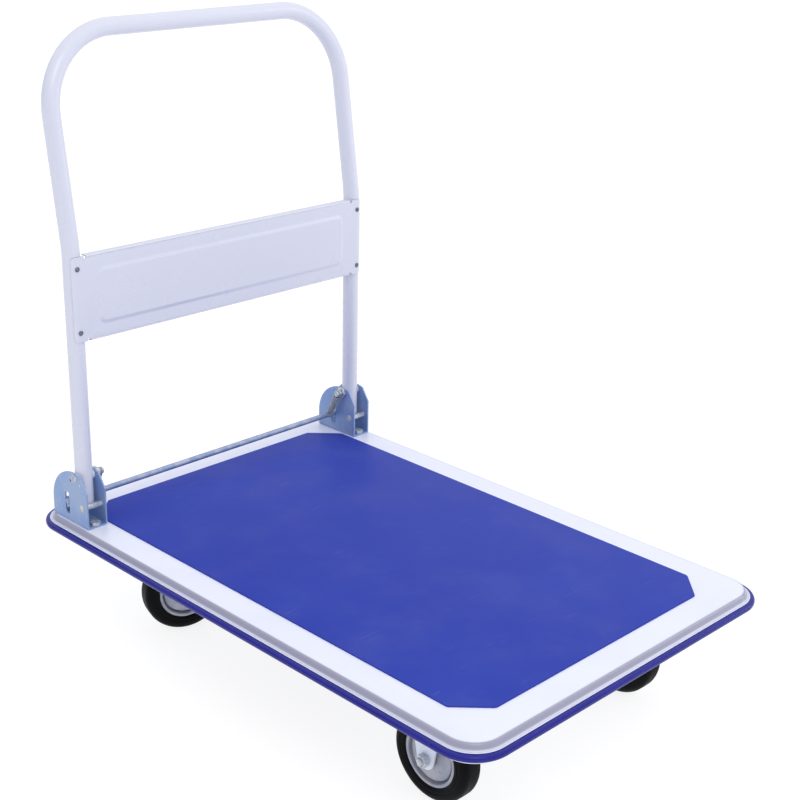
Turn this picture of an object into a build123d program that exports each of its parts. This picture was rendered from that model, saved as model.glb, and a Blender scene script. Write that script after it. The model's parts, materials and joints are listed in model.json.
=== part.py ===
from build123d import *
import os
from math import atan2, cos, degrees, hypot, radians, sin, sqrt

os.makedirs("parts", exist_ok=True)

# Folding platform cart, mm. +Z up, the handle at +Y, origin on the floor under the deck's middle.

# ---- overall
cart_length = 900.0              # over the bumper
cart_width = 600.0               # over the bumper
handle_rise = 712.0              # top of the handle above the deck's top face

# ---- deck tray
bumper_reach = 9.0               # the bumper stands this far out of the tray's wall
bumper_height = 9.5
bumper_round = 4.0
deck_corner = 55.0               # outside radius of the bumper at the four corners
pan_sheet = 1.5
pan_depth = 25.0
bevel_in = 6.8                   # the rolled top edge: how far in and how far down
bevel_drop = 9.4
top_edge_radius = 3.0

# ---- mat
mat_margin = 57.5                # from the bumper's outside
mat_cut = 41.0                   # cut corners
mat_thickness = 2.0
mat_round = 0.8

# ---- channels under the tray
rail_width = 112.0
rail_flange = 16.0
rail_sheet = 2.0
stiffener_width = 40.0
stiffener_depth = 18.0
stiffener_flange = 12.0
stiffener_spread = 240.0         # between the two centre lines
channel_gap = 2.0                # between a channel's end and the next piece

# ---- casters
wheel_diameter = 125.0
crown_gap = 15.5                 # tyre to the swivel fork's crown
caster_inset_x = 113.0           # bumper's outside to the caster's centre line
caster_inset_y = 162.0
swivel_trail = 36.0              # swivel axis to axle
swivel_turn = -17.0              # where the swivel casters stand, degrees from +X
plate_length = 105.0
plate_width = 85.0
plate_sheet = 4.0
plate_corner = 8.0
plate_bolt_x = 60.0
plate_bolt_y = 80.0
rigid_leg_half = 31.0            # half the width of a rigid fork's leg at the plate
swivel_leg_half = 25.0
fork_sheet = 3.0
fork_gap = 3.0                   # between the tyre and a leg
fork_foot = 14.0                 # radius of the leg's end round the axle
crown_radius = 36.0
race_pitch = 26.0                # radius of the ball circle
race_wall = 7.0                  # from the ball circle to the race's rim
race_depth = 3.5
race_gap = 1.5                   # between the two races' faces
ball_diameter = 6.35
ball_count = 18
ball_gap = 0.35                  # to the race that turns against the balls
seat_gap = 0.02                  # to the groove that carries the balls
king_diameter = 12.0
king_head = 20.0
king_head_height = 2.0
king_flats = 18.0
king_nut_height = 8.0
king_tail = 1.5
lower_race_radius = 19.0
lower_race_thickness = 3.0

# ---- wheel
tyre_width = 34.0
tyre_shoulder = 10.0
tyre_side_slope = 4.0            # the rubber's bead stands back this much at the ring
rim_ring_radius = 41.8
rim_drum_radius = 37.3           # inside of the drum that carries the rubber
rim_disc_radius = 34.0
rim_sheet = 1.6
rim_face = 14.8                  # outer face of the ring, from the wheel's middle
disc_face = 11.4                 # edge of the domed disc, from the wheel's middle
dome_rise = 3.2                  # the disc's middle stands out this much more
bead_gap = 0.15                  # rubber to rim
bearing_diameter = 24.0
bearing_length = 11.0
axle_diameter = 10.0
sleeve_diameter = 14.0

# ---- hinge brackets
bracket_sheet = 2.5
bracket_edge = 18.5              # bumper's outside to the outer ear
ear_gap = 1.8                    # tube to each ear
bracket_bend = 3.0
ear_front = 123.0                # these are from the bumper's rear outside
ear_front_rise = 57.0
ear_cut = 109.0
ear_round_centre = 91.0
ear_round_rise = 26.0
ear_radius = 55.0
pivot_inset = 94.0
pivot_rise = 73.0
pivot_diameter = 10.0
pivot_head = 13.0
pivot_head_height = 3.5
pivot_nut_height = 5.0
pivot_nut_flats = 16.0
pivot_tail = 15.0                # past the inner ear, with the spring's neck
pivot_neck_diameter = 8.0
neck_width = 3.0
spring_offset = 10.5              # inner ear to the spring's middle
stop_gap = 0.3                   # tube to stop pin
stop_rise = 31.0
stop_diameter = 8.5
stop_head = 11.5
stop_head_height = 1.6
rod_inset = 73.0
rod_rise = 30.5
rod_diameter = 9.0
rod_travel = 15.0
rod_overhang = 0.5
rod_chamfer = 0.75
slot_gap = 1.0                   # slot's width over the rod's
slot_end_gap = 0.5               # under the pressed rod
slot_head_gap = 11.0             # over the raised rod
witness_hole = 4.0
witness_inset = 84.0
witness_rise = 67.0
clip_outer = 15.0
clip_thickness = 1.2
clip_gap = 0.3
base_bolt_inset = (116.5, 42.0)

# ---- handle
tube_diameter = 25.4
tube_wall = 1.5
kink_rise = 412.0                # where the uprights start to lean back
lean_back = 8.5
kink_radius = 160.0
handle_corner = 110.0            # bend radius at the tube's middle
rod_clear = 0.5                  # the tube's rounded end passes the rod
bush_clear = 0.3                 # bush end to the ear
panel_low = 280.0
panel_high = 403.0
panel_sheet = 1.2
panel_wrap = 40.0                # degrees round the tube
panel_lip = 12.0
panel_hem = 5.0
screw_inset = (14.0, 17.0)       # from the panel's bottom and top edges
screw_diameter = 4.0
screw_head = 7.5
screw_head_height = 2.2
screw_length = 6.0

# ---- springs
spring_outer = 10.5
spring_wire = 1.5
spring_pitch = 2.1
hook_clear = 0.1
leg_swell = 0.05                 # the bent legs are this much thicker

# ---- fasteners and fits
bolt_diameter = 8.0
bolt_flats = 13.0
bolt_head = 5.3
bolt_tail = 2.0                  # past the nut
axle_flats = 16.0
axle_head = 6.0
axle_nut_height = 8.0
hex_sides = 6
nut_height = 6.5
small_gap = 0.1                  # round a fastener in its hole
pin_gap = 0.08                   # round a hinge pin or an axle

# ---- places worked out from the sizes above
pan_width = cart_width - 2 * bumper_reach
pan_length = cart_length - 2 * bumper_reach
pan_corner = deck_corner - bumper_reach
wheel_radius = wheel_diameter / 2
caster_height = wheel_diameter + crown_gap + fork_sheet + 2 * race_depth + race_gap + plate_sheet
rail_depth = pan_depth - pan_sheet
deck_top = caster_height + rail_depth + pan_sheet
pan_under = deck_top - pan_sheet
caster_x = cart_width / 2 - caster_inset_x
caster_y = cart_length / 2 - caster_inset_y
rear = cart_length / 2
ear_outside = cart_width / 2 - bracket_edge
bracket_width = tube_diameter + 2 * (bracket_sheet + ear_gap)
ear_inside = ear_outside - bracket_width
upright_x = (ear_outside + ear_inside) / 2
tube_radius = tube_diameter / 2
pivot_y = rear - pivot_inset
pivot_z = deck_top + pivot_rise
rod_y = rear - rod_inset
rod_z = deck_top + rod_rise
stop_y = pivot_y - tube_radius - stop_gap - stop_diameter / 2
stop_z = deck_top + stop_rise
leg_inside = tyre_width / 2 + fork_gap
leg_outside = leg_inside + fork_sheet

casters = {
    "rear_left": (-caster_x, caster_y, swivel_turn),
    "rear_right": (caster_x, caster_y, swivel_turn),
    "front_left": (-caster_x, -caster_y, 90.0),
    "front_right": (caster_x, -caster_y, 90.0),
}
sides = {"left": -1, "right": 1}


def save(builder, name):
    builder.part.label = name
    export_step(builder.part, f"parts/{name}.step")


def bent_sheet(points, wall):
    """Inside the current sketch: a sheet that follows the points, with its wall on the left."""
    with BuildLine() as outline:
        Polyline(*points)
        offset(amount=wall, kind=Kind.INTERSECTION, side=Side.LEFT)
    make_face(outline.edges())


def span(side, inner, outer):
    """The YZ plane at the lower X end of a stretch from inner to outer on one side of the cart."""
    return Plane.YZ.offset(min(side * inner, side * outer))


def turned(side, y, z, steps):
    """Inside the current part: round steps along X, each (inner, outer, diameter)."""
    for inner, outer, diameter in steps:
        with BuildSketch(span(side, inner, outer)) as section:
            with Locations((y, z)):
                Circle(diameter / 2)
        extrude(section.sketch, amount=outer - inner)


# ---------------------------------------------------------------- deck
base_bolts = [(side * upright_x, rear - inset) for side in sides.values() for inset in base_bolt_inset]
plate_bolts = [(sx * plate_bolt_x / 2, sy * plate_bolt_y / 2) for sx in (-1, 1) for sy in (-1, 1)]

with BuildPart() as deck_pan:
    with BuildSketch(Plane.XY.offset(deck_top - pan_depth)):
        RectangleRounded(pan_width, pan_length, pan_corner)
    extrude(amount=pan_depth - bevel_drop)
    with BuildSketch(Plane.XY.offset(deck_top - bevel_drop)):
        RectangleRounded(pan_width, pan_length, pan_corner)
    extrude(amount=bevel_drop, taper=degrees(atan2(bevel_in, bevel_drop)))
    fillet(deck_pan.edges().group_by(Axis.Z)[-1], top_edge_radius)
    offset(amount=-pan_sheet, openings=deck_pan.faces().sort_by(Axis.Z)[0])
    with Locations(*[(x, y, deck_top) for x, y in base_bolts]):
        Hole(bolt_diameter / 2 + small_gap, depth=2 * pan_sheet)
save(deck_pan, "deck_pan")

with BuildPart() as deck_mat:
    with BuildSketch(Plane.XY.offset(deck_top)) as mat_outline:
        Rectangle(cart_width - 2 * mat_margin, cart_length - 2 * mat_margin)
        chamfer(mat_outline.vertices(), mat_cut)
    extrude(amount=mat_thickness)
    fillet(deck_mat.edges().group_by(Axis.Z)[-1], mat_round)
save(deck_mat, "deck_mat")

with BuildPart() as edge_bumper:
    with BuildSketch(Plane.XY.offset(deck_top - bevel_drop)):
        RectangleRounded(cart_width, cart_length, deck_corner)
    extrude(amount=-bumper_height)
    fillet(edge_bumper.edges().group_by(Axis.Z)[0], bumper_round)
    fillet(edge_bumper.edges().group_by(Axis.Z)[-1], bumper_round)
    with BuildSketch(Plane.XY.offset(deck_top - bevel_drop)):
        RectangleRounded(pan_width, pan_length, pan_corner)
    extrude(amount=-bumper_height, mode=Mode.SUBTRACT)
save(edge_bumper, "edge_bumper")


def hat_points(middle, width, depth, flange):
    """The upper side of a hat channel that hangs under the tray."""
    low = pan_under - depth
    left = middle - width / 2
    right = middle + width / 2
    return [(left - flange, pan_under), (left, pan_under), (left, low), (right, low),
            (right, pan_under), (right + flange, pan_under)]


rail_reach = pan_width / 2 - bevel_in - pan_sheet - channel_gap
for place, row in (("rear", caster_y), ("front", -caster_y)):
    with BuildPart() as cross_rail:
        with BuildSketch(Plane.YZ.offset(-rail_reach)):
            hat = hat_points(row, rail_width - 2 * rail_sheet, rail_depth - rail_sheet, rail_flange)
            bent_sheet(hat[::-1], rail_sheet)
        extrude(amount=2 * rail_reach)
        for x in (-caster_x, caster_x):
            with Locations(*[(x + dx, row + dy, caster_height + rail_sheet) for dx, dy in plate_bolts]):
                Hole(bolt_diameter / 2 + small_gap, depth=2 * rail_sheet)
    save(cross_rail, f"cross_rail_{place}")

stiffener_reach = caster_y - rail_width / 2 - rail_flange - channel_gap
with BuildPart() as stiffeners:
    for middle in (-stiffener_spread / 2, stiffener_spread / 2):
        hat = hat_points(middle, stiffener_width, stiffener_depth, stiffener_flange)
        with BuildSketch(Plane.XZ.offset(-stiffener_reach)):
            bent_sheet(hat[::-1], pan_sheet)
        extrude(amount=2 * stiffener_reach)
save(stiffeners, "stiffeners")

# ---------------------------------------------------------------- hinge brackets
tip_rise = ear_round_rise + sqrt(ear_radius ** 2 - (ear_cut - ear_round_centre) ** 2)
tip = (rear - ear_cut, deck_top + tip_rise)
crest = (rear - ear_round_centre, deck_top + ear_round_rise + ear_radius)
back = (rear - ear_round_centre + ear_radius, deck_top + ear_round_rise)
slot_low = rod_z - rod_travel - rod_diameter / 2 - slot_end_gap
slot_high = rod_z + rod_diameter / 2 + slot_head_gap
slot_width = rod_diameter + slot_gap

for name, side in sides.items():
    with BuildPart() as bracket:
        with BuildSketch(span(side, ear_inside, ear_outside)):
            with BuildLine():
                Polyline(back, (back[0], deck_top), (rear - ear_front, deck_top),
                         (rear - ear_front, deck_top + ear_front_rise), tip)
                ThreePointArc(tip, crest, back)
            make_face()
        extrude(amount=bracket_width)
        fillet(bracket.edges().filter_by(Axis.Y).group_by(Axis.Z)[0], bracket_bend)
        with BuildSketch(span(side, ear_inside + bracket_sheet, ear_outside - bracket_sheet)):
            with Locations((rear - ear_round_centre, deck_top + bracket_sheet + ear_radius)):
                Rectangle(4 * ear_radius, 2 * ear_radius)
        extrude(amount=bracket_width - 2 * bracket_sheet, mode=Mode.SUBTRACT)
        with BuildSketch(span(side, ear_inside, ear_outside)):
            with Locations((pivot_y, pivot_z)):
                Circle(pivot_diameter / 2 + small_gap)
            with Locations((stop_y, stop_z)):
                Circle(stop_diameter / 2 + small_gap)
            with Locations((rod_y, (slot_low + slot_high) / 2)):
                SlotOverall(slot_high - slot_low, slot_width, rotation=90)
        extrude(amount=bracket_width, mode=Mode.SUBTRACT)
        with BuildSketch(span(side, ear_outside - bracket_sheet, ear_outside)):
            with Locations((rear - witness_inset, deck_top + witness_rise)):
                Circle(witness_hole / 2)
        extrude(amount=bracket_sheet, mode=Mode.SUBTRACT)
        base_z = deck_top + bracket_sheet
        with Locations(*[(side * upright_x, rear - inset, base_z) for inset in base_bolt_inset]):
            Hole(bolt_diameter / 2 + small_gap, depth=2 * bracket_sheet)
    save(bracket, f"bracket_{name}")

with BuildPart() as bracket_bolts:
    with BuildSketch(Plane.XY.offset(deck_top + bracket_sheet)):
        with Locations(*base_bolts):
            RegularPolygon(bolt_flats / 2, hex_sides, major_radius=False)
    extrude(amount=bolt_head)
    with BuildSketch(Plane.XY.offset(deck_top + bracket_sheet)):
        with Locations(*base_bolts):
            Circle(bolt_diameter / 2)
    extrude(amount=-(bracket_sheet + pan_sheet + nut_height + bolt_tail))
save(bracket_bolts, "bracket_bolts")

with BuildPart() as bracket_nuts:
    with BuildSketch(Plane.XY.offset(pan_under)):
        with Locations(*base_bolts):
            RegularPolygon(bolt_flats / 2, hex_sides, major_radius=False)
            Circle(bolt_diameter / 2 + small_gap, mode=Mode.SUBTRACT)
    extrude(amount=-nut_height)
save(bracket_nuts, "bracket_nuts")

spring_x = ear_inside - spring_offset
for name, side in sides.items():
    with BuildPart() as pivot_bolt:
        neck_out = spring_x + neck_width / 2
        neck_in = spring_x - neck_width / 2
        turned(side, pivot_y, pivot_z, [
            (ear_outside, ear_outside + pivot_head_height, pivot_head),
            (neck_out, ear_outside, pivot_diameter),
            (neck_in, neck_out, pivot_neck_diameter),
            (ear_inside - pivot_tail, neck_in, pivot_diameter),
        ])
    save(pivot_bolt, f"pivot_bolt_{name}")

with BuildPart() as pivot_nuts:
    for side in sides.values():
        with BuildSketch(span(side, ear_inside - pivot_nut_height, ear_inside)):
            with Locations((pivot_y, pivot_z)):
                RegularPolygon(pivot_nut_flats / 2, hex_sides, major_radius=False)
                Circle(pivot_diameter / 2 + small_gap, mode=Mode.SUBTRACT)
        extrude(amount=pivot_nut_height)
save(pivot_nuts, "pivot_nuts")

with BuildPart() as stop_pins:
    for side in sides.values():
        turned(side, stop_y, stop_z, [
            (ear_outside, ear_outside + stop_head_height, stop_head),
            (ear_inside, ear_outside, stop_diameter),
            (ear_inside - stop_head_height, ear_inside, stop_head),
        ])
save(stop_pins, "stop_pins")

# ---------------------------------------------------------------- lock rod and its springs
clip_out = ear_outside - bracket_sheet - clip_gap
clip_in = clip_out - clip_thickness
groove_diameter = rod_diameter - 2 * clip_thickness
rod_end = ear_outside + rod_overhang
with BuildPart() as lock_rod:
    with BuildSketch(Plane.YZ.offset(-rod_end)):
        with Locations((rod_y, rod_z)):
            Circle(rod_diameter / 2)
    extrude(amount=2 * rod_end)
    chamfer(lock_rod.edges().filter_by(GeomType.CIRCLE), rod_chamfer)
    for side in sides.values():
        with BuildSketch(span(side, clip_in, clip_out)):
            with Locations((rod_y, rod_z)):
                Circle(rod_diameter)
                Circle(groove_diameter / 2, mode=Mode.SUBTRACT)
        extrude(amount=clip_thickness, mode=Mode.SUBTRACT)
save(lock_rod, "lock_rod")

with BuildPart() as rod_clips:
    for side in sides.values():
        with BuildSketch(span(side, clip_in, clip_out)):
            with Locations((rod_y, rod_z)):
                Circle(clip_outer / 2)
                Circle(groove_diameter / 2 + small_gap, mode=Mode.SUBTRACT)
        extrude(amount=clip_thickness)
save(rod_clips, "rod_clips")

pull = hypot(rod_y - pivot_y, pivot_z - rod_z)
coil_radius = (spring_outer - spring_wire) / 2
top_hook = (pivot_neck_diameter + spring_wire) / 2 + hook_clear
low_hook = (rod_diameter + spring_wire) / 2 + hook_clear
coil_high = -top_hook - spring_wire
coil_low = low_hook + spring_wire - pull
turns = int((coil_high - coil_low) / spring_pitch)
for name, side in sides.items():
    frame = Plane(origin=(side * spring_x, pivot_y, pivot_z), x_dir=(1, 0, 0),
                  z_dir=(0, pivot_y - rod_y, pivot_z - rod_z))
    with BuildPart() as spring:
        with BuildLine(frame):
            coil_length = coil_high - coil_low
            coil = Helix(coil_length / turns, coil_length, coil_radius, center=(0, 0, coil_low))
        with BuildSketch(Plane(origin=coil @ 0, z_dir=coil % 0)):
            Circle(spring_wire / 2)
        sweep(path=coil, is_frenet=True)
        for centre, radius, toward, end in ((0, top_hook, -1, coil @ 1), (-pull, low_hook, 1, coil @ 0)):
            hook = frame.from_local_coords(Vector(0, 0, centre))
            with Locations(Location(Plane(origin=hook, x_dir=(0, 1, 0), z_dir=(1, 0, 0)))):
                Torus(radius, spring_wire / 2)
            with BuildLine():
                leg = Line(frame.from_local_coords(Vector(0, 0, centre + toward * radius)), end)
            with BuildSketch(Plane(origin=leg @ 0, z_dir=leg % 0)):
                Circle(spring_wire / 2 + leg_swell)
            sweep(path=leg)
    save(spring, f"spring_{name}")

# ---------------------------------------------------------------- handle
lean = radians(lean_back)
top_z = deck_top + handle_rise - tube_radius
kink_z = deck_top + kink_rise
lean_length = (top_z - kink_z) / cos(lean)
top_y = pivot_y + lean_length * sin(lean)
end_radius = hypot(rod_y - pivot_y, pivot_z - rod_z) - rod_diameter / 2 - rod_clear
with BuildPart() as handle_tube:
    with BuildLine() as tube_line:
        FilletPolyline(
            (-upright_x, pivot_y, pivot_z - end_radius),
            (-upright_x, pivot_y, kink_z),
            (-upright_x, top_y, top_z),
            (upright_x, top_y, top_z),
            (upright_x, pivot_y, kink_z),
            (upright_x, pivot_y, pivot_z - end_radius),
            radius=[kink_radius, handle_corner, handle_corner, kink_radius],
        )
    with BuildSketch(Plane(origin=tube_line.line @ 0, z_dir=tube_line.line % 0)):
        Circle(tube_radius)
        Circle(tube_radius - tube_wall, mode=Mode.SUBTRACT)
    sweep(path=tube_line.line)
    with BuildSketch(Plane.YZ.offset(-ear_outside)):
        with Locations((pivot_y, pivot_z - end_radius)):
            Rectangle(2 * tube_diameter, end_radius)
        with Locations((pivot_y, pivot_z)):
            Circle(end_radius, mode=Mode.SUBTRACT)
    extrude(amount=2 * ear_outside, mode=Mode.SUBTRACT)
    with BuildSketch(Plane.YZ.offset(-ear_outside)):
        with Locations((pivot_y, pivot_z)):
            Circle(sleeve_diameter / 2 + small_gap)
    extrude(amount=2 * ear_outside, mode=Mode.SUBTRACT)
    panel_screws_at = []
    for side in sides.values():
        for height in (panel_low + screw_inset[0], panel_high - screw_inset[1]):
            origin = Vector(side * upright_x, pivot_y, deck_top + height)
            panel_screws_at.append(Plane(origin=origin, z_dir=(0, -1, 0)))
    for place in panel_screws_at:
        with BuildSketch(place):
            Circle(screw_diameter / 2 + small_gap)
        extrude(amount=tube_diameter, mode=Mode.SUBTRACT)
save(handle_tube, "handle_tube")

with BuildPart() as pivot_bushes:
    for side in sides.values():
        inner = ear_inside + bracket_sheet + bush_clear
        outer = ear_outside - bracket_sheet - bush_clear
        with BuildSketch(span(side, inner, outer)):
            with Locations((pivot_y, pivot_z)):
                Circle(sleeve_diameter / 2)
                Circle(pivot_diameter / 2 + pin_gap, mode=Mode.SUBTRACT)
        extrude(amount=outer - inner)
save(pivot_bushes, "pivot_bushes")

inside = tube_radius + small_gap
outside = inside + panel_sheet
with BuildPart() as handle_panel:
    with BuildSketch(Plane.XY.offset(deck_top + panel_low)):
        with BuildLine():
            right_out = CenterArc((upright_x, pivot_y), outside, -90, panel_wrap)
            right_in = CenterArc((upright_x, pivot_y), inside, -90, panel_wrap)
            left_out = CenterArc((-upright_x, pivot_y), outside, -90, -panel_wrap)
            left_in = CenterArc((-upright_x, pivot_y), inside, -90, -panel_wrap)
            Line(right_out @ 1, right_in @ 1)
            Line(left_out @ 1, left_in @ 1)
            Line(right_out @ 0, left_out @ 0)
            Line(right_in @ 0, left_in @ 0)
        make_face()
    extrude(amount=panel_high - panel_low)
    fold_half = upright_x - tube_radius - 2 * panel_sheet
    for height, reach in ((panel_low, panel_hem), (panel_high - panel_sheet, panel_lip)):
        with BuildSketch(Plane.XY.offset(deck_top + height)):
            with Locations((0, pivot_y - outside + reach / 2)):
                Rectangle(2 * fold_half, reach)
        extrude(amount=panel_sheet)
    for place in panel_screws_at:
        with BuildSketch(place):
            Circle(screw_diameter / 2 + small_gap)
        extrude(amount=tube_diameter, mode=Mode.SUBTRACT)
save(handle_panel, "handle_panel")

with BuildPart() as panel_screws:
    for place in panel_screws_at:
        with BuildSketch(place.offset(outside + small_gap)):
            Circle(screw_head / 2)
        extrude(amount=screw_head_height)
        with BuildSketch(place.offset(outside + small_gap)):
            Circle(screw_diameter / 2)
        extrude(amount=-screw_length)
save(panel_screws, "panel_screws")

# ---------------------------------------------------------------- casters
plate_under = caster_height - plate_sheet
race_face = plate_under - race_depth
ball_z = race_face - race_gap / 2
crown_face = race_face - race_gap
crown_top = crown_face - race_depth
crown_under = crown_top - fork_sheet
king_reach = crown_under - pin_gap - lower_race_thickness
ball_radius = ball_diameter / 2
race_outer = race_pitch + race_wall
race_inner = race_pitch - race_wall


def plate_blank(x, y):
    """Inside the current part: a caster's plate with its four bolt holes."""
    with BuildSketch(Plane.XY.offset(plate_under)) as blank:
        with Locations((x, y)):
            RectangleRounded(plate_width, plate_length, plate_corner)
        with Locations(*[(x + dx, y + dy) for dx, dy in plate_bolts]):
            Circle(bolt_diameter / 2 + small_gap, mode=Mode.SUBTRACT)
    extrude(blank.sketch, amount=plate_sheet)


def ring(x, y, start, amount, outer, inner, mode=Mode.ADD):
    """Inside the current part: an upright ring."""
    with BuildSketch(Plane.XY.offset(start)) as section:
        with Locations((x, y)):
            Circle(outer)
            if inner:
                Circle(inner, mode=Mode.SUBTRACT)
    extrude(section.sketch, amount=amount, mode=mode)


def race_groove(x, y, radius):
    with Locations((x, y, ball_z)):
        Torus(race_pitch, radius, mode=Mode.SUBTRACT)


def fork_legs(middle, along, half, top, trail):
    """Inside the current part: the two legs of a fork, from the plate or crown to the axle."""
    for lift in (leg_inside, -leg_outside):
        leg_plane = Plane(origin=middle, x_dir=along, z_dir=along.cross(Vector(0, 0, 1))).offset(lift)
        with BuildSketch(leg_plane) as leg:
            with Locations((trail, wheel_radius)):
                Circle(fork_foot)
            with Locations((0, top - fork_sheet / 2)):
                Rectangle(2 * half, fork_sheet)
            make_hull(leg.edges())
            with Locations((trail, wheel_radius)):
                Circle(axle_diameter / 2 + small_gap, mode=Mode.SUBTRACT)
        extrude(leg.sketch, amount=fork_sheet)


with BuildPart() as caster_bolts:
    heads = [(x + dx, y + dy) for x, y, turn in casters.values() for dx, dy in plate_bolts]
    with BuildSketch(Plane.XY.offset(plate_under)):
        with Locations(*heads):
            RegularPolygon(bolt_flats / 2, hex_sides, major_radius=False)
    extrude(amount=-bolt_head)
    with BuildSketch(Plane.XY.offset(plate_under)):
        with Locations(*heads):
            Circle(bolt_diameter / 2)
    extrude(amount=plate_sheet + rail_sheet + nut_height + bolt_tail)
save(caster_bolts, "caster_bolts")

with BuildPart() as caster_nuts:
    with BuildSketch(Plane.XY.offset(caster_height + rail_sheet)):
        with Locations(*heads):
            RegularPolygon(bolt_flats / 2, hex_sides, major_radius=False)
            Circle(bolt_diameter / 2 + small_gap, mode=Mode.SUBTRACT)
    extrude(amount=nut_height)
save(caster_nuts, "caster_nuts")

for corner, (x, y, turn) in casters.items():
    swivels = corner.startswith("rear")
    along = Vector(cos(radians(turn)), sin(radians(turn)), 0)
    axle_way = along.cross(Vector(0, 0, 1))
    trail = swivel_trail if swivels else 0.0
    hub = Vector(x, y, wheel_radius) + along * trail
    lengthwise = Plane(origin=hub, x_dir=axle_way, z_dir=along)
    axle_line = Axis(hub, axle_way)

    if swivels:
        with BuildPart() as top_plate:
            plate_blank(x, y)
            ring(x, y, plate_under, -race_depth, race_outer, race_inner)
            race_groove(x, y, ball_radius + ball_gap)
            ring(x, y, plate_under, plate_sheet, king_diameter / 2 + small_gap, 0, Mode.SUBTRACT)
            head_room = king_head / 2 + small_gap
            ring(x, y, caster_height, -king_head_height - small_gap, head_room, 0, Mode.SUBTRACT)
        save(top_plate, f"top_plate_{corner}")

        with BuildPart() as king_bolt:
            ring(x, y, caster_height - small_gap, -king_head_height, king_head / 2, 0)
            ring(x, y, caster_height - small_gap, king_reach - king_nut_height - king_tail - caster_height,
                 king_diameter / 2, 0)
        save(king_bolt, f"king_bolt_{corner}")

        with BuildPart() as race_balls:
            with Locations((x, y, ball_z)):
                with PolarLocations(race_pitch, ball_count):
                    Sphere(ball_radius)
        save(race_balls, f"race_balls_{corner}")

        with BuildPart() as fork:
            ring(x, y, crown_under, fork_sheet, crown_radius, 0)
            ring(x, y, crown_top, race_depth, race_outer, race_inner)
            race_groove(x, y, ball_radius + seat_gap)
            fork_legs(Vector(x, y, 0), along, swivel_leg_half, crown_top, trail)
            ring(x, y, crown_under, fork_sheet, king_diameter / 2 + pin_gap, 0, Mode.SUBTRACT)
        save(fork, f"fork_{corner}")
    else:
        with BuildPart() as rigid_fork:
            plate_blank(x, y)
            fork_legs(Vector(x, y, 0), along, rigid_leg_half, plate_under + fork_sheet, trail)
        save(rigid_fork, f"fork_{corner}")

    with BuildPart() as axle_bolt:
        with BuildSketch(Plane(origin=hub, z_dir=axle_way).offset(leg_outside)):
            RegularPolygon(axle_flats / 2, hex_sides, major_radius=False)
        extrude(amount=axle_head)
        with BuildSketch(Plane(origin=hub, z_dir=axle_way).offset(leg_outside)):
            Circle(axle_diameter / 2)
        extrude(amount=-(2 * leg_outside + axle_nut_height + bolt_tail))
    save(axle_bolt, f"axle_bolt_{corner}")

    with BuildPart() as axle_nut:
        with BuildSketch(Plane(origin=hub, z_dir=axle_way).offset(-leg_outside)):
            RegularPolygon(axle_flats / 2, hex_sides, major_radius=False)
            Circle(axle_diameter / 2 + small_gap, mode=Mode.SUBTRACT)
        extrude(amount=-axle_nut_height)
    save(axle_nut, f"axle_nut_{corner}")

    with BuildPart() as axle_sleeve:
        with BuildSketch(Plane(origin=hub, z_dir=axle_way).offset(small_gap - leg_inside)):
            Circle(sleeve_diameter / 2)
            Circle(axle_diameter / 2 + small_gap, mode=Mode.SUBTRACT)
        extrude(amount=2 * (leg_inside - small_gap))
    save(axle_sleeve, f"axle_sleeve_{corner}")

    with BuildPart() as rims:
        bore = bearing_diameter / 2 + small_gap
        floor = rim_sheet + seat_gap
        with BuildSketch(lengthwise):
            bent_sheet([
                (disc_face + dome_rise - bearing_length, bore),
                (disc_face + dome_rise, bore),
                (disc_face + dome_rise / 2, (bore + rim_disc_radius) / 2),
                (disc_face, rim_disc_radius),
                (floor, rim_disc_radius),
                (floor, rim_drum_radius),
                (rim_face, rim_drum_radius),
                (rim_face, rim_ring_radius),
            ], rim_sheet)
        revolve(axis=axle_line)
        mirror(about=Plane(origin=hub, z_dir=axle_way))
    save(rims, f"rims_{corner}")

    with BuildPart() as bearings:
        with BuildSketch(lengthwise):
            for way in (-1, 1):
                with Locations((way * (disc_face + dome_rise - bearing_length / 2),
                                (bearing_diameter + sleeve_diameter + 2 * pin_gap) / 4)):
                    Rectangle(bearing_length, (bearing_diameter - sleeve_diameter - 2 * pin_gap) / 2)
        revolve(axis=axle_line)
    save(bearings, f"bearings_{corner}")

    with BuildPart() as tyre:
        seat = rim_drum_radius + rim_sheet + bead_gap
        bead = rim_ring_radius + bead_gap
        flange = rim_face - rim_sheet - bead_gap
        half = tyre_width / 2
        with BuildSketch(lengthwise) as section:
            with BuildLine():
                Polyline((-flange, seat), (flange, seat), (flange, bead), (rim_face, bead),
                         (half, bead + tyre_side_slope), (half, wheel_radius), (-half, wheel_radius),
                         (-half, bead + tyre_side_slope), (-rim_face, bead), (-flange, bead), close=True)
            make_face()
            fillet(section.vertices().sort_by(Axis.Y)[-2:], tyre_shoulder)
        revolve(axis=axle_line)
    save(tyre, f"tyre_{corner}")

with BuildPart() as lower_races:
    for corner, (x, y, turn) in casters.items():
        if corner.startswith("rear"):
            ring(x, y, crown_under - ball_gap, -lower_race_thickness, lower_race_radius,
                 king_diameter / 2 + small_gap)
save(lower_races, "lower_races")

with BuildPart() as king_nuts:
    for corner, (x, y, turn) in casters.items():
        if corner.startswith("rear"):
            with BuildSketch(Plane.XY.offset(crown_under - ball_gap - lower_race_thickness)):
                with Locations((x, y)):
                    RegularPolygon(king_flats / 2, hex_sides, major_radius=False)
                    Circle(king_diameter / 2 + small_gap, mode=Mode.SUBTRACT)
            extrude(amount=-king_nut_height)
save(king_nuts, "king_nuts")
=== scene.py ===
import bmesh
import bpy
import json
from itertools import product
from math import cos, pi, radians, sin, sqrt
from mathutils import Matrix, Vector


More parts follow.
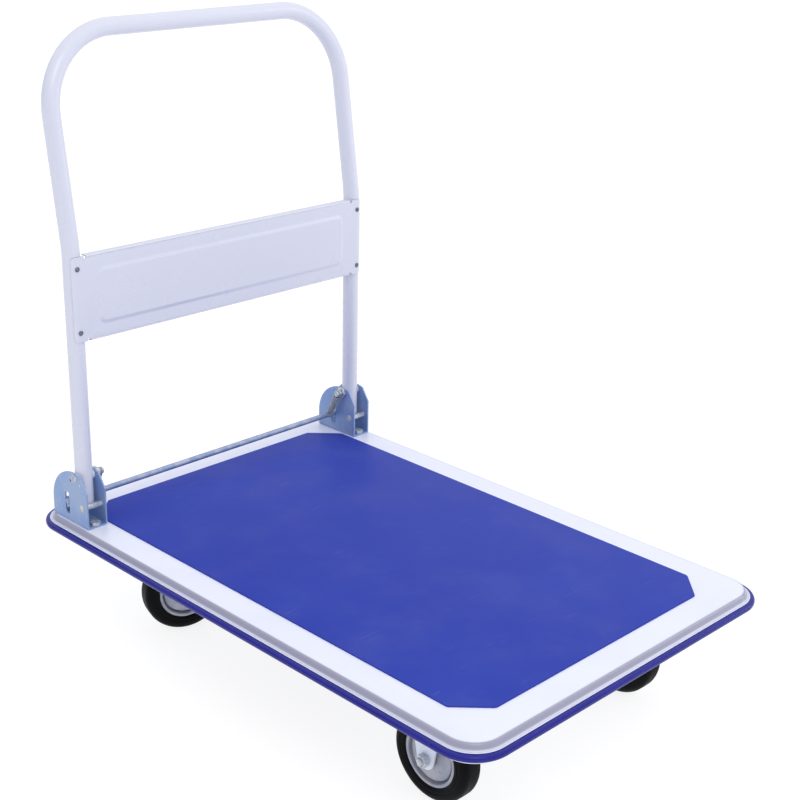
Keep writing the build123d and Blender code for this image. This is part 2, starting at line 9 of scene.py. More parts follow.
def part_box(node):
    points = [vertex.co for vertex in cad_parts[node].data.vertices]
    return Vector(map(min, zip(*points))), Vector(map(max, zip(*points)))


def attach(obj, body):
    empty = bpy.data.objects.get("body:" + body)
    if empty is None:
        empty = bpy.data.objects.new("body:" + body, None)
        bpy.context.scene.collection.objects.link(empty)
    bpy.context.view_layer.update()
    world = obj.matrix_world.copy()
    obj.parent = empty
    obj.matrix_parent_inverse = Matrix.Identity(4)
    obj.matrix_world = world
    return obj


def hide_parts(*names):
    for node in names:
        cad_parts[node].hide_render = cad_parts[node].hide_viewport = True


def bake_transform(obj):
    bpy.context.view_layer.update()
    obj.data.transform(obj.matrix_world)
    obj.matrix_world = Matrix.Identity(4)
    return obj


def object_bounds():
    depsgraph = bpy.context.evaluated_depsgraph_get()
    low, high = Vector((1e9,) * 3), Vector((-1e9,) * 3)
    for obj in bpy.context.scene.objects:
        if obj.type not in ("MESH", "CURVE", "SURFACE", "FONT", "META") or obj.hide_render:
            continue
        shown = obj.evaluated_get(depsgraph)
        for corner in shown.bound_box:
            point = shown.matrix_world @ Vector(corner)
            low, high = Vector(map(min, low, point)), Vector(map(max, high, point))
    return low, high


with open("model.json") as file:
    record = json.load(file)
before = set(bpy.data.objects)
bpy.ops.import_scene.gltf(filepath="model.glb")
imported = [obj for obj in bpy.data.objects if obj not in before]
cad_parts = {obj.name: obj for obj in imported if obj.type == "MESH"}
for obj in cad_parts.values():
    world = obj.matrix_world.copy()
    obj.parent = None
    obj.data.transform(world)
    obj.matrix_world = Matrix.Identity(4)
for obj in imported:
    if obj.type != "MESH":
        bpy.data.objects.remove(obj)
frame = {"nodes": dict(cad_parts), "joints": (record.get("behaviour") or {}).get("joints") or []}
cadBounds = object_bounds()
nodes = frame["nodes"]
mm = 0.001


def middle(node):
    low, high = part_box(node)
    return (low + high) / 2


deckLow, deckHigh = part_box("deck_pan")
pivot = middle("pivot_nuts")            # on the fold axis, at the cart's middle
rodLine = middle("lock_rod")
stopLine = middle("stop_pins")
uprightX = middle("bracket_right").x
rollAxis = {joint["child"]: Vector(joint["axis"]) for joint in frame["joints"]}
corners = ["rear_left", "rear_right", "front_left", "front_right"]
sides = {"left": -1, "right": 1}



def newObject(name, data):
    made = bpy.data.objects.new(name, data)
    bpy.context.scene.collection.objects.link(made)
    return made


# ---- camera: it comes first
shot = {
    "place": (-1.3775, -1.3828, 1.1506),
    "yaw": 44.6,
    "pitchDown": 20.9,
    "roll": -1.2,
    "lens": 68.2,
    "sensor": 36.0,
}


def makeCamera():
    data = bpy.data.cameras.new("shotCamera")
    data.lens = shot["lens"]
    data.sensor_width = shot["sensor"]
    camera = newObject("shotCamera", data)
    yaw, pitch, roll = (radians(shot[turn]) for turn in ("yaw", "pitchDown", "roll"))
    forward = Vector((cos(yaw) * cos(pitch), sin(yaw) * cos(pitch), -sin(pitch)))
    level = Vector((sin(yaw), -cos(yaw), 0))
    down = forward.cross(level)
    across = cos(roll) * level + sin(roll) * down
    up = sin(roll) * level - cos(roll) * down
    turn = Matrix((across, up, -forward)).transposed().to_4x4()
    camera.matrix_world = Matrix.Translation(shot["place"]) @ turn
    bpy.context.scene.camera = camera


makeCamera()
print("camera ready")

# ---- shader groups: each puts out masks, values or colours
groupSockets = {
    "vector": "NodeSocketVector",
    "value": "NodeSocketFloat",
    "colour": "NodeSocketColor",
}


def newGroup(name, inputs, outputs):
    group = bpy.data.node_groups.new(name, "ShaderNodeTree")
    for label, kind, start in inputs:
        socket = group.interface.new_socket(name=label, in_out="INPUT", socket_type=groupSockets[kind])
        if start is not None:
            socket.default_value = start
    for label, kind in outputs:
        group.interface.new_socket(name=label, in_out="OUTPUT", socket_type=groupSockets[kind])
    return group, group.nodes.new("NodeGroupInput"), group.nodes.new("NodeGroupOutput")


def setInput(tree, socket, value):
    # a socket given as the value is linked, and anything else is set
    if isinstance(value, bpy.types.NodeSocket):
        tree.links.new(value, socket)
    else:
        socket.default_value = value


def newNode(tree, kind, **inputs):
    node = tree.nodes.new("ShaderNode" + kind)
    for label, value in inputs.items():
        setInput(tree, node.inputs[label.replace("_", " ")], value)
    return node


def putOut(group, result, **values):
    for label, value in values.items():
        group.links.new(value, result.inputs[label])
    return group


def noiseIn(tree, source, scale, detail=3.0, rough=0.55):
    # the scale is a number, or the name of one of the group's inputs
    scale = source.outputs[scale] if isinstance(scale, str) else scale
    return newNode(tree, "TexNoise", Vector=source.outputs["Vector"], Scale=scale, Detail=detail,
                   Roughness=rough).outputs["Fac"]


def mathIn(tree, operation, *values, clamp=False):
    node = newNode(tree, "Math")
    node.operation = operation
    node.use_clamp = clamp
    for slot, value in enumerate(values):
        setInput(tree, node.inputs[slot], value)
    return node.outputs[0]


def rangeIn(tree, value, low, high, start=0.0, end=1.0, ramp="SMOOTHSTEP"):
    node = newNode(tree, "MapRange", Value=value, From_Min=low, From_Max=high, To_Min=start, To_Max=end)
    node.interpolation_type = ramp
    return node.outputs["Result"]


def mixIn(tree, factor, first, second):
    node = newNode(tree, "Mix")
    node.data_type = "RGBA"
    for label, value in (("Factor", factor), ("A", first), ("B", second)):
        setInput(tree, node.inputs[label], (*value, 1) if isinstance(value, tuple) else value)
    return node.outputs["Result"]


def streaksIn(tree, source, scale, rotation=(0, 0, 0)):
    # noise with its own scale along each axis, so it draws out into lines
    stretch = newNode(tree, "Mapping", Vector=source.outputs["Vector"], Scale=scale, Rotation=rotation)
    return newNode(tree, "TexNoise", Vector=stretch.outputs["Vector"], Scale=1.0, Detail=2.0).outputs["Fac"]


def makeOrangePeel():
    # the low waves and fine grit of a baked powder coat, as a height
    group, source, result = newGroup(
        "orangePeel",
        [("Vector", "vector", None), ("Scale", "value", 380.0), ("Grit", "value", 0.25)],
        [("Height", "value")])
    waves = noiseIn(group, source, "Scale", 1.5)
    fine = noiseIn(group, source, 2600.0, 2.0)
    grit = mathIn(group, "MULTIPLY", fine, source.outputs["Grit"])
    return putOut(group, result, Height=mathIn(group, "ADD", waves, grit))


def makeHandling():
    # cloudy smears and a few fine scuffs from use, as a mask
    group, source, result = newGroup(
        "handling",
        [("Vector", "vector", None), ("Scale", "value", 14.0), ("Amount", "value", 0.3)],
        [("Mask", "value"), ("Scuffs", "value")])
    clouds = noiseIn(group, source, "Scale", 4.0, 0.6)
    soft = rangeIn(group, clouds, 0.35, 0.72)
    lines = streaksIn(group, source, (18.0, 260.0, 120.0), (0.3, 0.2, 0.7))
    thin = rangeIn(group, lines, 0.68, 0.74)
    return putOut(group, result, Mask=mathIn(group, "MULTIPLY", soft, source.outputs["Amount"]),
                  Scuffs=mathIn(group, "MULTIPLY", thin, soft))


def makePlating():
    # bright zinc: soft blue and straw clouds, with fine rolling lines in the steel under it
    group, source, result = newGroup(
        "plating",
        [("Vector", "vector", None), ("Cool", "colour", (0.5, 0.6, 0.8, 1)),
         ("Warm", "colour", (0.7, 0.7, 0.7, 1)), ("Clouds", "value", 30.0), ("Rough", "value", 0.2)],
        [("Color", "colour"), ("Roughness", "value"), ("Height", "value")])
    clouds = noiseIn(group, source, "Clouds", 3.0, 0.5)
    tone = mixIn(group, rangeIn(group, clouds, 0.36, 0.66), source.outputs["Cool"], source.outputs["Warm"])
    lines = streaksIn(group, source, (900.0, 900.0, 30.0))
    fine = noiseIn(group, source, 220.0, 3.0)
    # the roughness comes out from 0.5 to 0.66 over the value that the finish gives
    spread = mathIn(group, "MULTIPLY_ADD", fine, 0.16, 0.5)
    return putOut(group, result, Color=tone, Roughness=mathIn(group, "ADD", spread, source.outputs["Rough"]),
                  Height=lines)


def makeDust():
    # dust that settles on faces turned upwards, as a mask
    group, source, result = newGroup(
        "settledDust",
        [("Vector", "vector", None), ("Amount", "value", 0.15)],
        [("Mask", "value")])
    split = newNode(group, "SeparateXYZ", Vector=newNode(group, "NewGeometry").outputs["Normal"])
    upward = rangeIn(group, split.outputs["Z"], 0.3, 1.0)
    drift = noiseIn(group, source, 9.0, 5.0, 0.65)
    patchy = rangeIn(group, drift, 0.4, 0.75)
    settled = mathIn(group, "MULTIPLY", upward, patchy)
    return putOut(group, result, Mask=mathIn(group, "MULTIPLY", settled, source.outputs["Amount"]))


def makePebble():
    # pressed vinyl or moulded rubber: rounded cells broken up by a little noise, as a height
    group, source, result = newGroup(
        "pebbleGrain",
        [("Vector", "vector", None), ("Scale", "value", 700.0), ("Break", "value", 0.5)],
        [("Height", "value")])
    cells = newNode(group, "TexVoronoi", Vector=source.outputs["Vector"], Scale=source.outputs["Scale"])
    cells.feature = "SMOOTH_F1"
    ragged = noiseIn(group, source, "Scale", 2.0)
    broken = mathIn(group, "MULTIPLY", ragged, source.outputs["Break"])
    return putOut(group, result, Height=mathIn(group, "SUBTRACT", broken, cells.outputs["Distance"]))


def makeBand():
    # a level band between two heights, as a mask
    group, source, result = newGroup(
        "levelBand",
        [("Vector", "vector", None), ("Low", "value", 0.0), ("High", "value", 1.0),
         ("Low Soft", "value", 0.001), ("High Soft", "value", 0.001)],
        [("Mask", "value")])
    split = newNode(group, "SeparateXYZ", Vector=source.outputs["Vector"])
    overLow = mathIn(group, "SUBTRACT", split.outputs["Z"], source.outputs["Low"])
    underHigh = mathIn(group, "SUBTRACT", source.outputs["High"], split.outputs["Z"])
    ramps = [mathIn(group, "DIVIDE", overLow, source.outputs["Low Soft"], clamp=True),
             mathIn(group, "DIVIDE", underHigh, source.outputs["High Soft"], clamp=True)]
    return putOut(group, result, Mask=mathIn(group, "MULTIPLY", *ramps))


groups = {
    "paintedShadeBand": makeBand(),
    "peel": makeOrangePeel(),
    "handling": makeHandling(),
    "plating": makePlating(),
    "dust": makeDust(),
    "pebble": makePebble(),
}


class Finish:
    # one material, with short calls to place the shared groups in it

    def __init__(self, name, **sockets):
        self.material = bpy.data.materials.new(name)
        self.material.use_nodes = True
        self.tree = self.material.node_tree
        self.shader = self.tree.nodes["Principled BSDF"]
        self.coordinates = newNode(self.tree, "TexCoord").outputs["Object"]
        for label, value in sockets.items():
            self.shader.inputs[label.replace("_", " ")].default_value = value

    def group(self, key, **values):
        node = newNode(self.tree, "Group")
        node.node_tree = groups[key]
        for label, value in {"Vector": self.coordinates, **values}.items():
            setInput(self.tree, node.inputs[label.replace("_", " ")], value)
        return node.outputs

    def mix(self, factor, first, second):
        return mixIn(self.tree, factor, first, second)

    def spread(self, value, start, end, low=0.0, high=1.0):
        return rangeIn(self.tree, value, low, high, start, end, "LINEAR")

    def noise(self, scale, detail=3.0):
        node = newNode(self.tree, "TexNoise", Vector=self.coordinates, Scale=scale, Detail=detail)
        return node.outputs["Fac"]

    def feed(self, value, label):
        self.tree.links.new(value, self.shader.inputs[label])

    def bump(self, height, depth, strength=1.0):
        node = newNode(self.tree, "Bump", Height=height, Distance=depth, Strength=strength)
        self.feed(node.outputs["Normal"], "Normal")


paintedShadeSoft = (2.6 * mm, 0.45 * mm)        # how far each end of the painted shade band fades, low and high


def makePowderCoat(name, colour, shade, roughness, paintedShadeBand=None):
    # the band, if any, is painted shade, a greyer stretch between two heights: (low, high, colour)
    finish = Finish(name, Coat_Weight=0.25, Coat_Roughness=0.12)
    worn = finish.group("handling", Scale=9.0, Amount=0.5)
    dust = finish.group("dust", Amount=0.1)
    tone = finish.mix(worn["Mask"], colour, shade)
    if paintedShadeBand:
        low, high, paintedShadeTone = paintedShadeBand
        # painted shade: the stretch between the two heights is darkened
        level = finish.group("paintedShadeBand", Low=low, High=high, Low_Soft=paintedShadeSoft[0], High_Soft=paintedShadeSoft[1])
        tone = finish.mix(level["Mask"], tone, paintedShadeTone)
    finish.feed(finish.mix(dust["Mask"], tone, (0.62, 0.61, 0.6)), "Base Color")
    finish.feed(finish.spread(worn["Mask"], roughness - 0.05, roughness + 0.1, 0.0, 0.5), "Roughness")
    finish.bump(finish.group("peel", Scale=420.0, Grit=0.2)["Height"], 0.00006, 0.45)
    return finish.material


def makeMatVinyl():
    finish = Finish("matVinyl", Specular_IOR_Level=0.08)
    worn = finish.group("handling", Scale=5.0, Amount=0.6)
    dust = finish.group("dust", Amount=0.05)
    tone = finish.mix(worn["Mask"], (0.025, 0.046, 0.35), (0.032, 0.058, 0.38))
    tone = finish.mix(worn["Scuffs"], tone, (0.06, 0.085, 0.42))
    finish.feed(finish.mix(dust["Mask"], tone, (0.3, 0.3, 0.34)), "Base Color")
    finish.feed(finish.spread(worn["Mask"], 0.42, 0.52, 0.0, 0.6), "Roughness")
    finish.bump(finish.group("pebble", Scale=900.0, Break=0.6)["Height"], 0.00012, 0.5)
    return finish.material


def makeBumperPvc():
    finish = Finish("bumperPvc", Coat_Weight=0.08, Coat_Roughness=0.1, Specular_IOR_Level=0.22)
    worn = finish.group("handling", Scale=22.0, Amount=0.6)
    tone = finish.mix(worn["Mask"], (0.011, 0.012, 0.21), (0.016, 0.016, 0.25))
    finish.feed(finish.mix(worn["Scuffs"], tone, (0.05, 0.05, 0.34)), "Base Color")
    finish.feed(finish.spread(worn["Mask"], 0.22, 0.34, 0.0, 0.6), "Roughness")
    finish.bump(finish.noise(60.0, 3.0), 0.0003, 0.35)
    return finish.material


def makeZinc(name, cool, warm, clouds, rough, metal=1.0):
    finish = Finish(name, Metallic=metal)
    plate = finish.group("plating", Cool=(*cool, 1), Warm=(*warm, 1), Clouds=clouds, Rough=rough)
    worn = finish.group("handling", Scale=30.0, Amount=0.5)
    finish.feed(finish.mix(worn["Scuffs"], plate["Color"], (0.85, 0.87, 0.9)), "Base Color")
    finish.feed(plate["Roughness"], "Roughness")
    finish.bump(plate["Height"], 0.00004, 0.4)
    return finish.material


def makeTyreRubber():
    finish = Finish("tyreRubber", Specular_IOR_Level=0.07)
    worn = finish.group("handling", Scale=24.0, Amount=0.7)
    dust = finish.group("dust", Amount=0.12)
    tone = finish.mix(worn["Mask"], (0.003, 0.0035, 0.004), (0.006, 0.006, 0.007))
    finish.feed(finish.mix(dust["Mask"], tone, (0.08, 0.078, 0.076)), "Base Color")
    finish.feed(finish.spread(worn["Mask"], 0.42, 0.62, 0.0, 0.7), "Roughness")
    finish.bump(finish.group("pebble", Scale=1300.0, Break=0.8)["Height"], 0.00008, 0.5)
    return finish.material


def makeNylon():
    finish = Finish("bushNylon", Subsurface_Weight=0.1, Roughness=0.45)
    clouds = finish.noise(90.0, 3.0)
    finish.feed(finish.mix(clouds, (0.75, 0.74, 0.7), (0.84, 0.83, 0.8)), "Base Color")
    finish.bump(finish.group("pebble", Scale=1800.0, Break=0.7)["Height"], 0.00005, 0.4)
    return finish.material


finishes = {
    "deck_paint": makePowderCoat("deckPaint", (0.73, 0.755, 0.87), (0.7, 0.725, 0.85), 0.34),
    # deck_tray: the rolled edge's slope, from 8.9 mm to 0.02 mm under the deck's top, is darkened to
    # grey-blue as painted shade
    "deck_tray": makePowderCoat("deckTrayPaint", (0.73, 0.755, 0.87), (0.7, 0.725, 0.85), 0.34,
                                (deckHigh.z - 8.9 * mm, deckHigh.z - 0.02 * mm, (0.31, 0.31, 0.4))),
    "handle_paint": makePowderCoat("handlePaint", (0.65, 0.665, 0.755), (0.642, 0.657, 0.748), 0.3),
    "mat_vinyl": makeMatVinyl(),
    "bumper_pvc": makeBumperPvc(),
    "bracket_zinc": makeZinc("bracketZinc", (0.33, 0.46, 0.72), (0.42, 0.52, 0.7), 24.0, 0.14),
    "fork_zinc": makeZinc("forkZinc", (0.78, 0.83, 0.93), (0.84, 0.86, 0.9), 34.0, 0.17),
    "rim_zinc": makeZinc("rimZinc", (0.5, 0.52, 0.6), (0.6, 0.6, 0.64), 40.0, 0.26),
    "bolt_zinc": makeZinc("boltZinc", (0.5, 0.54, 0.62), (0.72, 0.72, 0.72), 160.0, 0.1),
    "rod_zinc": makeZinc("rodZinc", (0.34, 0.42, 0.58), (0.5, 0.55, 0.66), 60.0, 0.1),
    "screw_zinc": makeZinc("screwZinc", (0.2, 0.21, 0.27), (0.34, 0.34, 0.38), 200.0, 0.2),
    "spring_steel": makeZinc("springSteel", (0.42, 0.44, 0.48), (0.56, 0.56, 0.56), 160.0, 0.22),
    "race_steel": makeZinc("raceSteel", (0.48, 0.5, 0.54), (0.6, 0.6, 0.6), 70.0, 0.2),
    "bearing_steel": makeZinc("bearingSteel", (0.38, 0.39, 0.42), (0.5, 0.5, 0.5), 120.0, 0.24),
    "bush_nylon": makeNylon(),
    "tyre_rubber": makeTyreRubber(),
}
print("finishes ready")


# ---- mesh work shared by the pieces
closeWeld = 0.005 * mm          # points this near each other become one
cadWeld = 0.01 * mm
seamWeld = 0.02 * mm


def addPiece(name, mesh, body, slotName, replaced, sharpAngle=32.0, finish=None):
    # takes one bmesh, or several that become one piece; a finish may differ from the slot's own
    data = bpy.data.meshes.new(name)
    parts = mesh if isinstance(mesh, list) else [mesh]
    whole = parts[0]
    for part in parts[1:]:
        spare = bpy.data.meshes.new("spare")
        part.to_mesh(spare)
        part.free()
        whole.from_mesh(spare)
        bpy.data.meshes.remove(spare)
    whole.to_mesh(data)
    whole.free()
    data.shade_smooth()
    data.set_sharp_from_angle(angle=radians(sharpAngle))
    data.materials.append(finishes[finish or slotName])
    piece = newObject(name, data)
    if body:
        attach(piece, body)
    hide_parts(*([replaced] if isinstance(replaced, str) else replaced))
    return piece


def roundEdges(piece, width, segments, angle):
    bevel = piece.modifiers.new("roundEdges", "BEVEL")
    bevel.width = width
    bevel.segments = segments
    bevel.limit_method = "ANGLE"
    bevel.angle_limit = radians(angle)


def thicken(piece, thickness):
    # the wall grows inwards from the drawn face
    wall = piece.modifiers.new("wall", "SOLIDIFY")
    wall.thickness = thickness
    wall.offset = -1.0
    wall.use_even_offset = True


def alongAxis(place, axis):
    # a matrix that takes local Z to the axis, at the place
    turn = Vector((0, 0, 1)).rotation_difference(Vector(axis))
    return Matrix.Translation(place) @ turn.to_matrix().to_4x4()


def lathe(profile, place, axis=(0, 0, 1), steps=48, closed=False):
    # turns a profile of (along the axis, radius) points into a round solid
    mesh = bmesh.new()
    points = [mesh.verts.new((radius, 0, along)) for along, radius in profile]
    pairs = list(zip(points, points[1:]))
    if closed:
        pairs.append((points[-1], points[0]))
    edges = [mesh.edges.new(pair) for pair in pairs]
    bmesh.ops.spin(mesh, geom=points + edges, cent=(0, 0, 0), axis=(0, 0, 1), angle=2 * pi,
                   steps=steps, use_merge=True, use_duplicate=False)
    bmesh.ops.remove_doubles(mesh, verts=mesh.verts, dist=closeWeld)
    bmesh.ops.recalc_face_normals(mesh, faces=mesh.faces)
    bmesh.ops.transform(mesh, matrix=alongAxis(place, axis), verts=mesh.verts)
    return mesh


def arcPoints(along, radius, round, start, end, steps):
    # points on a small arc of a profile, angles in degrees from the axis direction
    turns = [radians(start + (end - start) * step / steps) for step in range(steps + 1)]
    return [(along + round * cos(turn), radius + round * sin(turn)) for turn in turns]


def scaled(*points):
    return [(along * mm, radius * mm) for along, radius in points]


def flatFace(mesh, place, halfX, halfY):
    # a rectangle; the place is a point, or a matrix that also turns it
    place = place if isinstance(place, Matrix) else Matrix.Translation(place)
    made = bmesh.ops.create_grid(mesh, x_segments=1, y_segments=1, size=1.0,
                                 matrix=place @ Matrix.Diagonal((halfX, halfY, 1, 1)))
    return made["verts"]


def roundCorners(mesh, verts, radius, steps):
    return bmesh.ops.bevel(mesh, geom=verts, offset=radius, segments=steps, profile=0.5, affect="VERTICES",
                           material=-1)["verts"]


def roundedLoop(mesh, halfWidth, halfLength, corner, height, steps):
    # the outline of a rounded rectangle; gives its face and edges
    verts = roundCorners(mesh, flatFace(mesh, (0, 0, height), halfWidth, halfLength), corner, steps)
    face = max((f for v in verts for f in v.link_faces), key=lambda f: len(f.verts))
    return face, list(face.edges)


def nextRing(made):
    ring = [part for part in made if isinstance(part, bmesh.types.BMEdge)]
    return ring, list({vert for edge in ring for vert in edge.verts})


def extrudeEdges(mesh, edges, step=(0, 0, 0)):
    ring, verts = nextRing(bmesh.ops.extrude_edge_only(mesh, edges=edges)["geom"])
    bmesh.ops.translate(mesh, vec=step, verts=verts)
    return ring, verts


def bendEdges(mesh, edges, verts, centre, axis, angle, steps):
    turned = bmesh.ops.spin(mesh, geom=verts + edges, cent=centre, axis=axis, angle=angle, steps=steps,
                            use_merge=False, use_duplicate=False)
    return nextRing(turned["geom_last"])


def extrudeFace(mesh, face, height):
    grown = bmesh.ops.extrude_face_region(mesh, geom=[face])
    top = [part for part in grown["geom"] if isinstance(part, bmesh.types.BMFace)][0]
    bmesh.ops.translate(mesh, vec=(0, 0, height), verts=top.verts)
    return top


# shares of the width over the flats, but the last two are shares of the bore
hexForm = {"crownIn": 0.05, "cornerPast": 0.53, "cornerDrop": 0.06, "crownFlat": 0.43, "footIn": 0.46,
           "footOut": 0.48, "sinkIn": 0.12, "sinkDeep": 0.12}


def hexBlock(place, axis, flats, height, washer=0.0, bore=0.0):
    # a hexagon head or nut on a small washer face, its corners turned down at the crown; a nut has a hollow
    mesh = bmesh.new()
    lift = Matrix.Translation((0, 0, washer))
    made = bmesh.ops.create_circle(mesh, cap_ends=True, segments=6, radius=flats / 2 / cos(pi / 6),
                                   matrix=lift)
    base = made["verts"][0].link_faces[0]
    bmesh.ops.subdivide_edges(mesh, edges=base.edges[:], cuts=1)
    top = extrudeFace(mesh, base, height - washer)
    shoulder = top.verts[:]
    bmesh.ops.inset_region(mesh, faces=[top], thickness=flats * hexForm["crownIn"], depth=0.0)
    for vert in shoulder:
        if vert.co.xy.length > flats * hexForm["cornerPast"]:
            vert.co.z -= flats * hexForm["cornerDrop"]
    if bore:
        bmesh.ops.inset_region(mesh, faces=[top], thickness=flats * hexForm["crownFlat"] - bore, depth=0.0)
        bmesh.ops.inset_region(mesh, faces=[top], thickness=bore * hexForm["sinkIn"],
                               depth=-bore * hexForm["sinkDeep"])
    bmesh.ops.recalc_face_normals(mesh, faces=mesh.faces)
    parts = [mesh]
    if washer:
        edge = flats * hexForm["footIn"]
        foot = [(0, 0), (0, edge), (washer * 0.7, flats * hexForm["footOut"]), (washer, edge), (washer, 0)]
        parts.append(lathe(foot, (0, 0, 0), steps=32))
    for part in parts:
        bmesh.ops.transform(part, matrix=alongAxis(place, axis), verts=part.verts)
    return parts


def shank(place, axis, start, end, radius, thread=0.0, pitch=0.00125):
    # a bolt's shank with its end chamfered, and real thread ridges over the last stretch
    profile = [(start, 0), (start, radius)]
    if thread:
        turns = int(thread / pitch)
        begin = end - turns * pitch
        profile += [(begin, radius)]
        for turn in range(turns):
            profile += [(begin + (turn + 0.5) * pitch, radius * 0.9), (begin + (turn + 1) * pitch, radius)]
        profile[-1] = (end, radius * 0.86)
    else:
        profile += [(end - radius * 0.12, radius), (end, radius * 0.88)]
    profile += [(end, 0)]
    return lathe(profile, place, axis, steps=28)


def cadCopy(node):
    # a CAD node's mesh with its triangles merged into whole faces
    mesh = bmesh.new()
    mesh.from_mesh(nodes[node].data)
    bmesh.ops.remove_doubles(mesh, verts=mesh.verts, dist=cadWeld)
    bmesh.ops.dissolve_limit(mesh, angle_limit=radians(0.6), verts=mesh.verts, edges=mesh.edges,
                             use_dissolve_boundaries=False, delimit={"NORMAL"})
    return mesh


def pressed(name, node, body, slotName, width, steps=2, edgeAngle=50.0, sharpAngle=32.0):
    # a CAD node's own shape with its edges rounded
    piece = addPiece(name, cadCopy(node), body, slotName, node, sharpAngle)
    roundEdges(piece, width, steps, edgeAngle)


# ---- deck
tray = {
    "corner": 46 * mm,
    "sheet": 1.4 * mm,
    "cornerSteps": 14,
    # how far in from the wall, and how high over the wall's foot or under the deck's top
    "hem": [(3.0, 2.4), (2.6, 0.9), (1.5, 0.15), (0.6, 0.6), (0.1, 1.8), (0.0, 3.2)],
    "ledge": [(0.0, -10.4), (-0.3, -9.75), (-1.3, -9.45), (-2.2, -9.25), (-2.3, -8.95), (-1.9, -8.7),
              (-0.3, -8.55), (0.9, -8.1), (1.6, -7.2)],
    "roll": [(3.9, -3.2), (4.8, -1.55), (6.1, -0.55), (7.8, -0.1), (9.8, 0.0)],
}


def makeTray():
    mesh = bmesh.new()
    levels = [(reach, deckLow.z + rise * mm) for reach, rise in tray["hem"]]
    levels += [(reach, deckHigh.z + rise * mm) for reach, rise in tray["ledge"] + tray["roll"]]
    last = None
    for reach, height in levels:
        reach *= mm
        face, edges = roundedLoop(mesh, deckHigh.x - reach, deckHigh.y - reach, tray["corner"] - reach,
                                  height, tray["cornerSteps"])
        if last:
            bmesh.ops.bridge_loops(mesh, edges=last + edges)
        if height < levels[-1][1] - 1e-6:
            bmesh.ops.delete(mesh, geom=[face], context="FACES_ONLY")
        last = edges
    bmesh.ops.recalc_face_normals(mesh, faces=mesh.faces)
    if max(mesh.faces, key=lambda f: f.calc_area()).normal.z < 0:
        bmesh.ops.reverse_faces(mesh, faces=mesh.faces)
    piece = addPiece("deckTray", mesh, "deck", "deck_paint", "deck_pan", 50, "deck_tray")
    thicken(piece, tray["sheet"])


mat = {"cut": 41 * mm, "cornerRound": 2.5 * mm, "cornerSteps": 3, "round": 0.9 * mm, "edgeSteps": 3}


def makeMat():
    low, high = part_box("deck_mat")
    mesh = bmesh.new()
    flatFace(mesh, (0, 0, low.z), high.x, high.y)
    roundCorners(mesh, mesh.verts[:], mat["cut"], 1)
    roundCorners(mesh, mesh.verts[:], mat["cornerRound"], mat["cornerSteps"])
    top = extrudeFace(mesh, max(mesh.faces, key=lambda f: f.calc_area()), high.z - low.z)
    bmesh.ops.recalc_face_normals(mesh, faces=mesh.faces)
    bmesh.ops.bevel(mesh, geom=top.edges[:], offset=mat["round"], segments=mat["edgeSteps"], profile=0.5,
                    affect="EDGES", material=-1)
    addPiece("deckMat", mesh, "deck", "mat_vinyl", "deck_mat", 40)


bumper = {"round": 4.2 * mm, "steps": 10, "cornerSteps": 14, "lipUnder": 0.35 * mm, "wallGap": 0.05 * mm}


def makeBumper():
    low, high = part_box("edge_bumper")
    mesh = bmesh.new()
    corner = tray["corner"] + high.x - deckHigh.x
    straight = (high.z - low.z) / 2 - bumper["round"]
    centre = (high.z + low.z) / 2 - bumper["lipUnder"] / 2
    profile = [(deckHigh.x + bumper["wallGap"], low.z)]
    for step in range(bumper["steps"] + 1):
        turn = radians(-90 + 180 * step / bumper["steps"])
        side = 1 if turn > 0 else -1
        profile.append((high.x - bumper["round"] * (1 - cos(turn)),
                        centre + side * (straight - bumper["lipUnder"] / 2) + bumper["round"] * sin(turn)))
    profile.append((deckHigh.x + bumper["wallGap"], profile[-1][1]))
    loops = []
    for halfWidth, height in profile:
        inward = high.x - halfWidth
        face, edges = roundedLoop(mesh, halfWidth, high.y - inward, corner - inward, height,
                                  bumper["cornerSteps"])
        bmesh.ops.delete(mesh, geom=[face], context="FACES_ONLY")
        loops.append(edges)
    for first, second in zip(loops, loops[1:] + loops[:1]):
        bmesh.ops.bridge_loops(mesh, edges=first + second)
    bmesh.ops.recalc_face_normals(mesh, faces=mesh.faces)
    addPiece("edgeBumper", mesh, "deck", "bumper_pvc", "edge_bumper", 50)


def makeChannels():
    for node in ("cross_rail_front", "cross_rail_rear", "stiffeners"):
        pressed(node + "_pressed", node, "deck", "deck_paint", 0.7 * mm, 3, 30)


makeTray()
makeMat()
makeBumper()
makeChannels()
print("deck ready")

# ---- hinge brackets and their pins
hinge = {
    "sheetEdge": 0.35 * mm,
    "domeRise": 3.5 * mm,
    "domeRadius": 6.5 * mm,
    "pinRadius": 5.0 * mm,
    "pinChamfer": 0.6 * mm,
    "neckRadius": 4.0 * mm,
    "neckFlat": 1.1 * mm,
    "neckEnd": 1.5 * mm,
    "stopRadius": 4.25 * mm,
    "rivetRadius": 5.75 * mm,
    "rivetRise": 1.6 * mm,
}


def dome(start, radius, rise, steps=7):
    # profile of a domed head, from its rim to its crown
    ball = (radius * radius + rise * rise) / 2 / rise
    foot = rise * 0.22
    points = [(start, radius * 0.985), (start + foot * 0.5, radius)]
    for step in range(steps + 1):
        out = radius * (1 - step / steps)
        share = (sqrt(ball * ball - out * out) - ball + rise) / rise
        points.append((start + foot + (rise - foot) * share, out))
    return points


def makeBrackets():
    for side in sides:
        pressed("hingeBracket_" + side, "bracket_" + side, "deck", "bracket_zinc", hinge["sheetEdge"], 2, 40,
                25)


